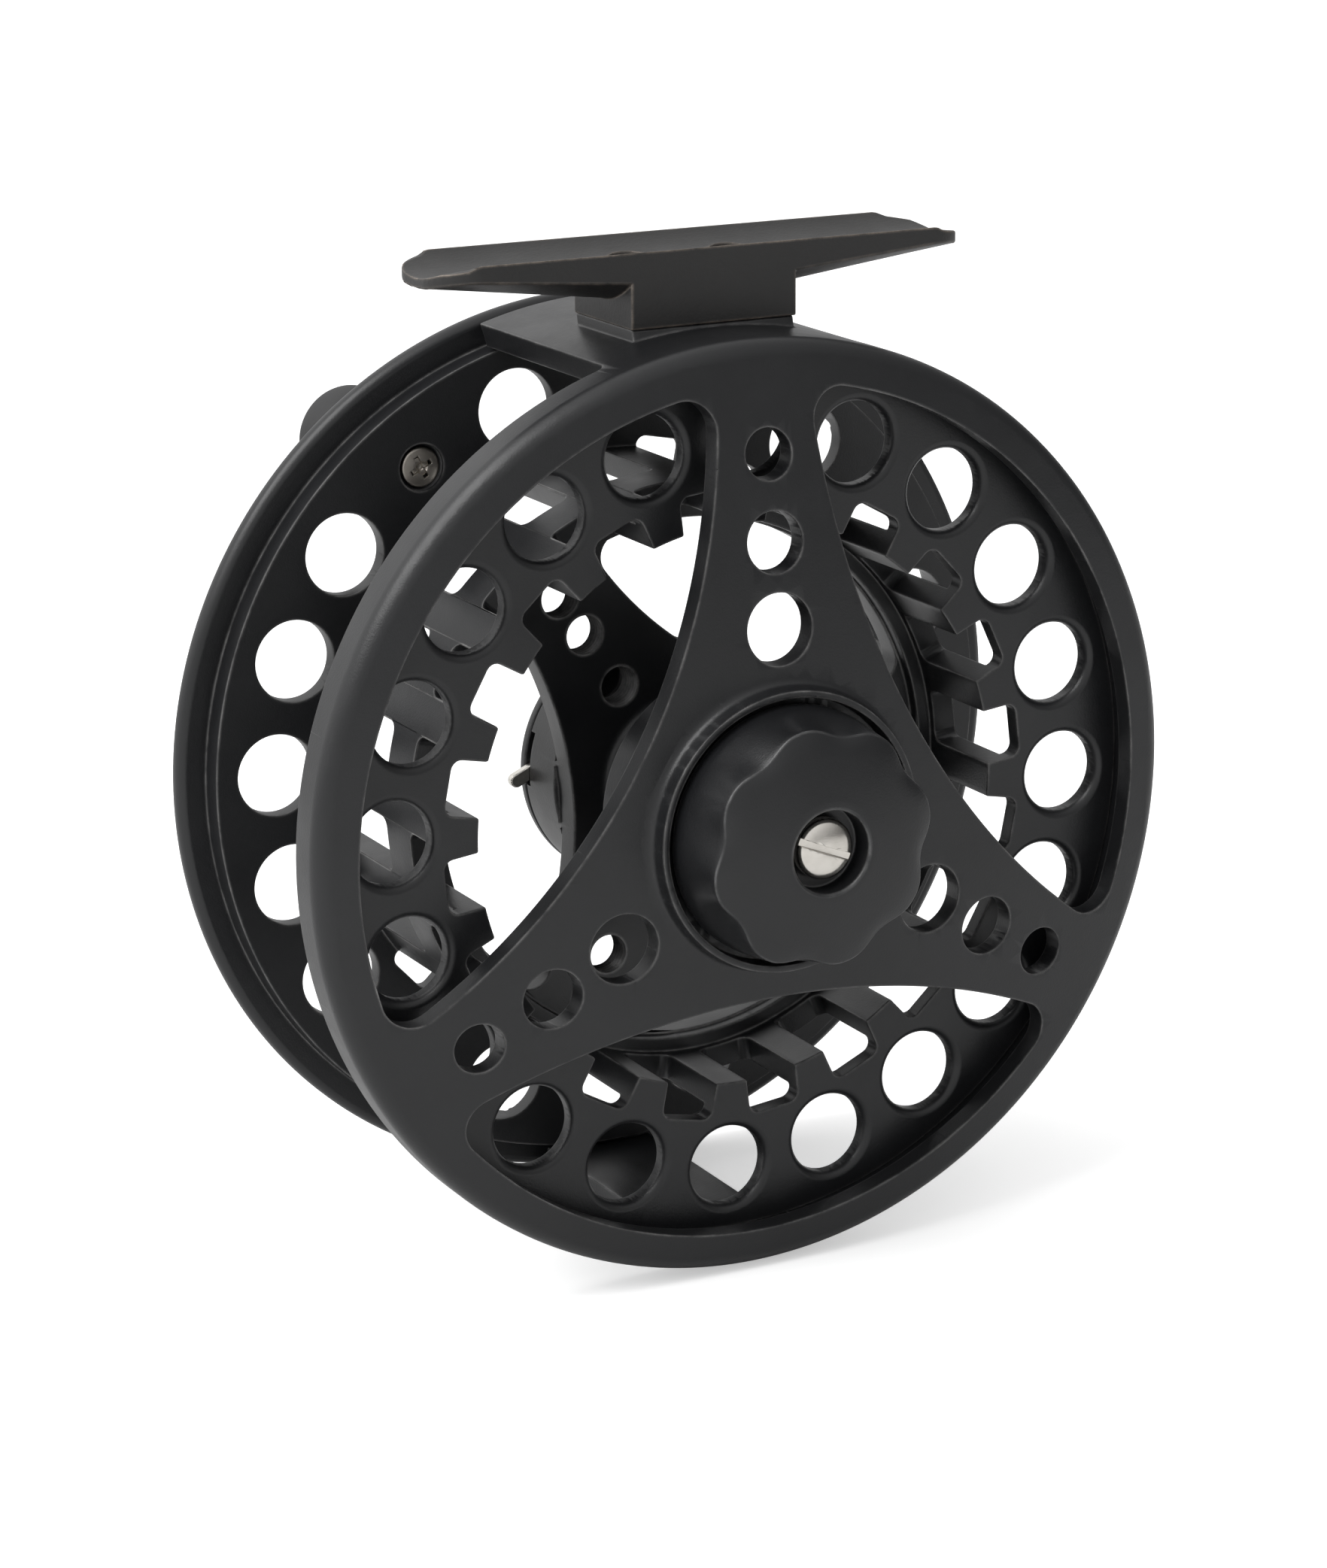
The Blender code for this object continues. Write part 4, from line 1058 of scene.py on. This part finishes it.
def make_handle_screw():
    """A Phillips screw seen in the far flange."""
    y0, y1 = span_y("handle_screw")
    x, z = HANDLE
    profile = screw_head(2.3, y0, 0.35, y0 + 0.5, 1.1, y1)
    shape = spun(profile, 80, closed=False)
    arms = []
    for angle in (28, 118):
        long = prism([[(-1.35, -0.3), (1.35, -0.3), (1.35, 0.3), (-1.35, 0.3)]], y0 - 1, y0 + 0.55)
        arms.append(moved(long, about_y(angle)))
    cone = bars([(0, 0)], 0.95, y0 - 0.4, y0 + 0.9, 24, 0.3)
    shape = combine(shape, [arms[0], arms[1], cone])
    piece("handle_screw", moved(soften(shape, 0.05, 2, 40), Matrix.Translation((x, 0, z))), DARK_NICKEL)


def make_handle():
    """The grip and, inside it, the post it spins on and the screw that keeps it."""
    y0, y1 = span_y("handle_knob")
    grip_r = radius_of("handle_knob")
    waist = [(grip_r - 1.6, y0 + 4.6), (grip_r - 1.45, y0 + 7.0)]
    waist += [(grip_r - 0.9, y0 + 10.0), (grip_r - 0.2, y0 + 13.0)]
    outer = smooth_line([(grip_r - 1.4, y0 + 0.5), (grip_r - 1.1, y0 + 1.6)] + waist + [(grip_r, y1 - 2.2)])
    profile = [(grip_r - 1.9, y0)] + outer
    profile += [(grip_r - 1.1 + u, y1 - 1.1 + v) for u, v in arc((0, 0), 1.1, 0, 90, 8)]
    profile += [(3.9, y1), (3.4, y1 - 0.4), (3.4, y1 - 2.5), (2.2, y1 - 2.5), (2.2, y0)]
    piece("handle_knob", spun(profile, 120, HANDLE), GRIP, 34)

    low, high = span_y("handle_post")
    post = [(0, 54.5), (1.2, 54.5), (1.2, 59.2), (1.75, 59.2), (1.9, 59.05)]
    post += [(1.9, 43.8), (3.45, 43.8), (3.6, 43.65)]
    post += [(3.6, low + 0.15), (3.45, low), (1.6, low), (1.6, 47.0), (0, 47.0)]
    piece("handle_post", spun(post, 72, HANDLE, closed=False), POLISHED_STEEL, 30)

    low, high = span_y("handle_end_screw")
    profile = [(r, -y) for r, y in screw_head(3.0, -high, 0.7, -high + 1.6, 0.9, -low)]
    shape = combine(spun(profile, 72, closed=False), [slot_tool(0.8, high - 0.6, high + 1, 10.0)])
    piece("handle_end_screw", moved(soften(shape, 0.07, 2), about_y(0, HANDLE)), NICKEL)


# ---------------------------------------------------------------- stage


def make_floor():
    """A pale floor. The camera sees it almost white; the reel sees it a little greyer."""
    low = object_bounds()[0]
    bpy.ops.mesh.primitive_plane_add(size=8, location=(0, 0, low[2] - 0.0005))
    floor = bpy.context.object
    floor.name = "floor"
    n = Nodes("pale_floor")
    pale = n.ramp(n.noise(3.0), ((0.3, 0.9), (0.7, 0.93)))
    path = n.add("ShaderNodeLightPath")
    seen = path.outputs["Is Camera Ray"]
    colour = n.mix(seen, (0.7, 0.7, 0.7), pale)
    n.set(Base_Color=colour, Roughness=0.85, Emission_Strength=n.math("MULTIPLY", seen, 0.45))
    floor.data.materials.append(n.material)


def make_light(name, position, target, size, power, colour=(1, 1, 1)):
    data = bpy.data.lights.new(name, "AREA")
    data.shape = "RECTANGLE"
    data.size, data.size_y = size
    data.energy = power
    data.color = colour
    light = bpy.data.objects.new(name, data)
    light.location = position
    light.rotation_euler = (Vector(target) - Vector(position)).to_track_quat("-Z", "Y").to_euler()
    bpy.context.scene.collection.objects.link(light)


def make_world():
    """White where the camera sees it; around the reel, soft light from the upper left and from behind."""
    world = bpy.data.worlds.new("studio")
    bpy.context.scene.world = world
    world.use_nodes = True
    tree = world.node_tree
    background = tree.nodes["Background"]
    place = tree.nodes.new("ShaderNodeTexCoord")

    def glow(direction, start, dim, bright):
        """Light that grows from dim to bright towards a direction."""
        dot = tree.nodes.new("ShaderNodeVectorMath")
        dot.operation = "DOT_PRODUCT"
        dot.inputs[1].default_value = Vector(direction).normalized()
        tree.links.new(place.outputs["Generated"], dot.inputs[0])
        spread = tree.nodes.new("ShaderNodeMapRange")
        spread.interpolation_type = "SMOOTHSTEP"
        for name, value in (("From Min", start), ("From Max", 1.0), ("To Min", dim), ("To Max", bright)):
            spread.inputs[name].default_value = value
        tree.links.new(dot.outputs["Value"], spread.inputs["Value"])
        return spread.outputs["Result"]

    total = tree.nodes.new("ShaderNodeMath")
    total.operation = "ADD"
    tree.links.new(glow((-0.55, -0.3, 0.78), -0.5, 0.1, 0.85), total.inputs[0])
    tree.links.new(glow((-0.35, 0.9, 0.1), -0.2, 0.0, 0.7), total.inputs[1])
    path = tree.nodes.new("ShaderNodeLightPath")
    mix = tree.nodes.new("ShaderNodeMix")
    tree.links.new(path.outputs["Is Camera Ray"], mix.inputs["Factor"])
    tree.links.new(total.outputs["Value"], mix.inputs["A"])
    mix.inputs["B"].default_value = 1.0
    tree.links.new(mix.outputs["Result"], background.inputs["Strength"])
    background.inputs["Color"].default_value = (1, 1, 1, 1)


def make_camera():
    """A close camera, as if a 118 mm lens were held under half a metre from the reel."""
    azimuth, elevation, roll = radians(-27.5722), radians(15.6676), radians(-0.4154)
    distance, aside, rise = 476.53, 12.3285, -4.4514
    back = Vector((sin(azimuth) * cos(elevation), -cos(azimuth) * cos(elevation), sin(elevation)))
    right = (-back).cross(Vector((0, 0, 1))).normalized()
    up = right.cross(-back)
    across = right * cos(roll) + up * sin(roll)
    above = up * cos(roll) - right * sin(roll)
    place = ORIGIN + back * distance - across * aside - above * rise
    data = bpy.data.cameras.new("camera")
    data.sensor_fit = "HORIZONTAL"
    data.sensor_width = 36
    data.lens = 117.63
    data.clip_start = 0.01
    camera = bpy.data.objects.new("camera", data)
    camera.matrix_world = Matrix.Translation(place * MM) @ Matrix((across, above, back)).transposed().to_4x4()
    bpy.context.scene.collection.objects.link(camera)
    bpy.context.scene.camera = camera


BLACK = black_finish("black_anodised", (0.0085, 0.0088, 0.0098), (0.26, 0.255, 0.25), 0.35, 0.85, marks=0.12)
CAP_BLACK = black_finish("black_cap", (0.013, 0.0135, 0.015), (0.2, 0.2, 0.2), 0.33, 0.7, 5200.0, 0.3, 0.35)
KNOB_BLACK = black_finish("black_knob", (0.0085, 0.0088, 0.0098), (0.3, 0.3, 0.3), 0.34, 0.9)
FOOT_PAINT = black_finish("foot_paint", (0.0145, 0.0139, 0.0136), (0.34, 0.28, 0.23), 0.44, 1.0, 2600.0, 0.6)
NICKEL = bright_metal("polished_nickel", (0.75, 0.72, 0.67), 0.13)
DARK_NICKEL = bright_metal("dark_nickel", (0.42, 0.39, 0.35), 0.26, HANDLE)
STEEL = bright_metal("machined_steel", (0.42, 0.42, 0.43), 0.28)
POLISHED_STEEL = bright_metal("ground_steel", (0.55, 0.55, 0.56), 0.18)
DARK_STEEL = bright_metal("black_oxide_steel", (0.035, 0.035, 0.038), 0.32)
CARBON = carbon_look()
GRIP = grip_look()

make_frame()
make_foot()
make_foot_screws()
make_knob()
make_knob_screw()
make_stud()
make_washers()
make_plate()
make_discs()
make_cover()
make_plunger()
make_spindle()
make_bearings()
make_spool()
make_cap()
make_lever()
make_latch()
make_spring()
make_handle_screw()
make_handle()
make_floor()
make_world()
make_camera()
make_light("key", (-0.5, -0.1, 0.6), (0, 0, -0.06), (0.6, 0.6), 5)
bpy.context.scene.view_settings.view_transform = "Standard"
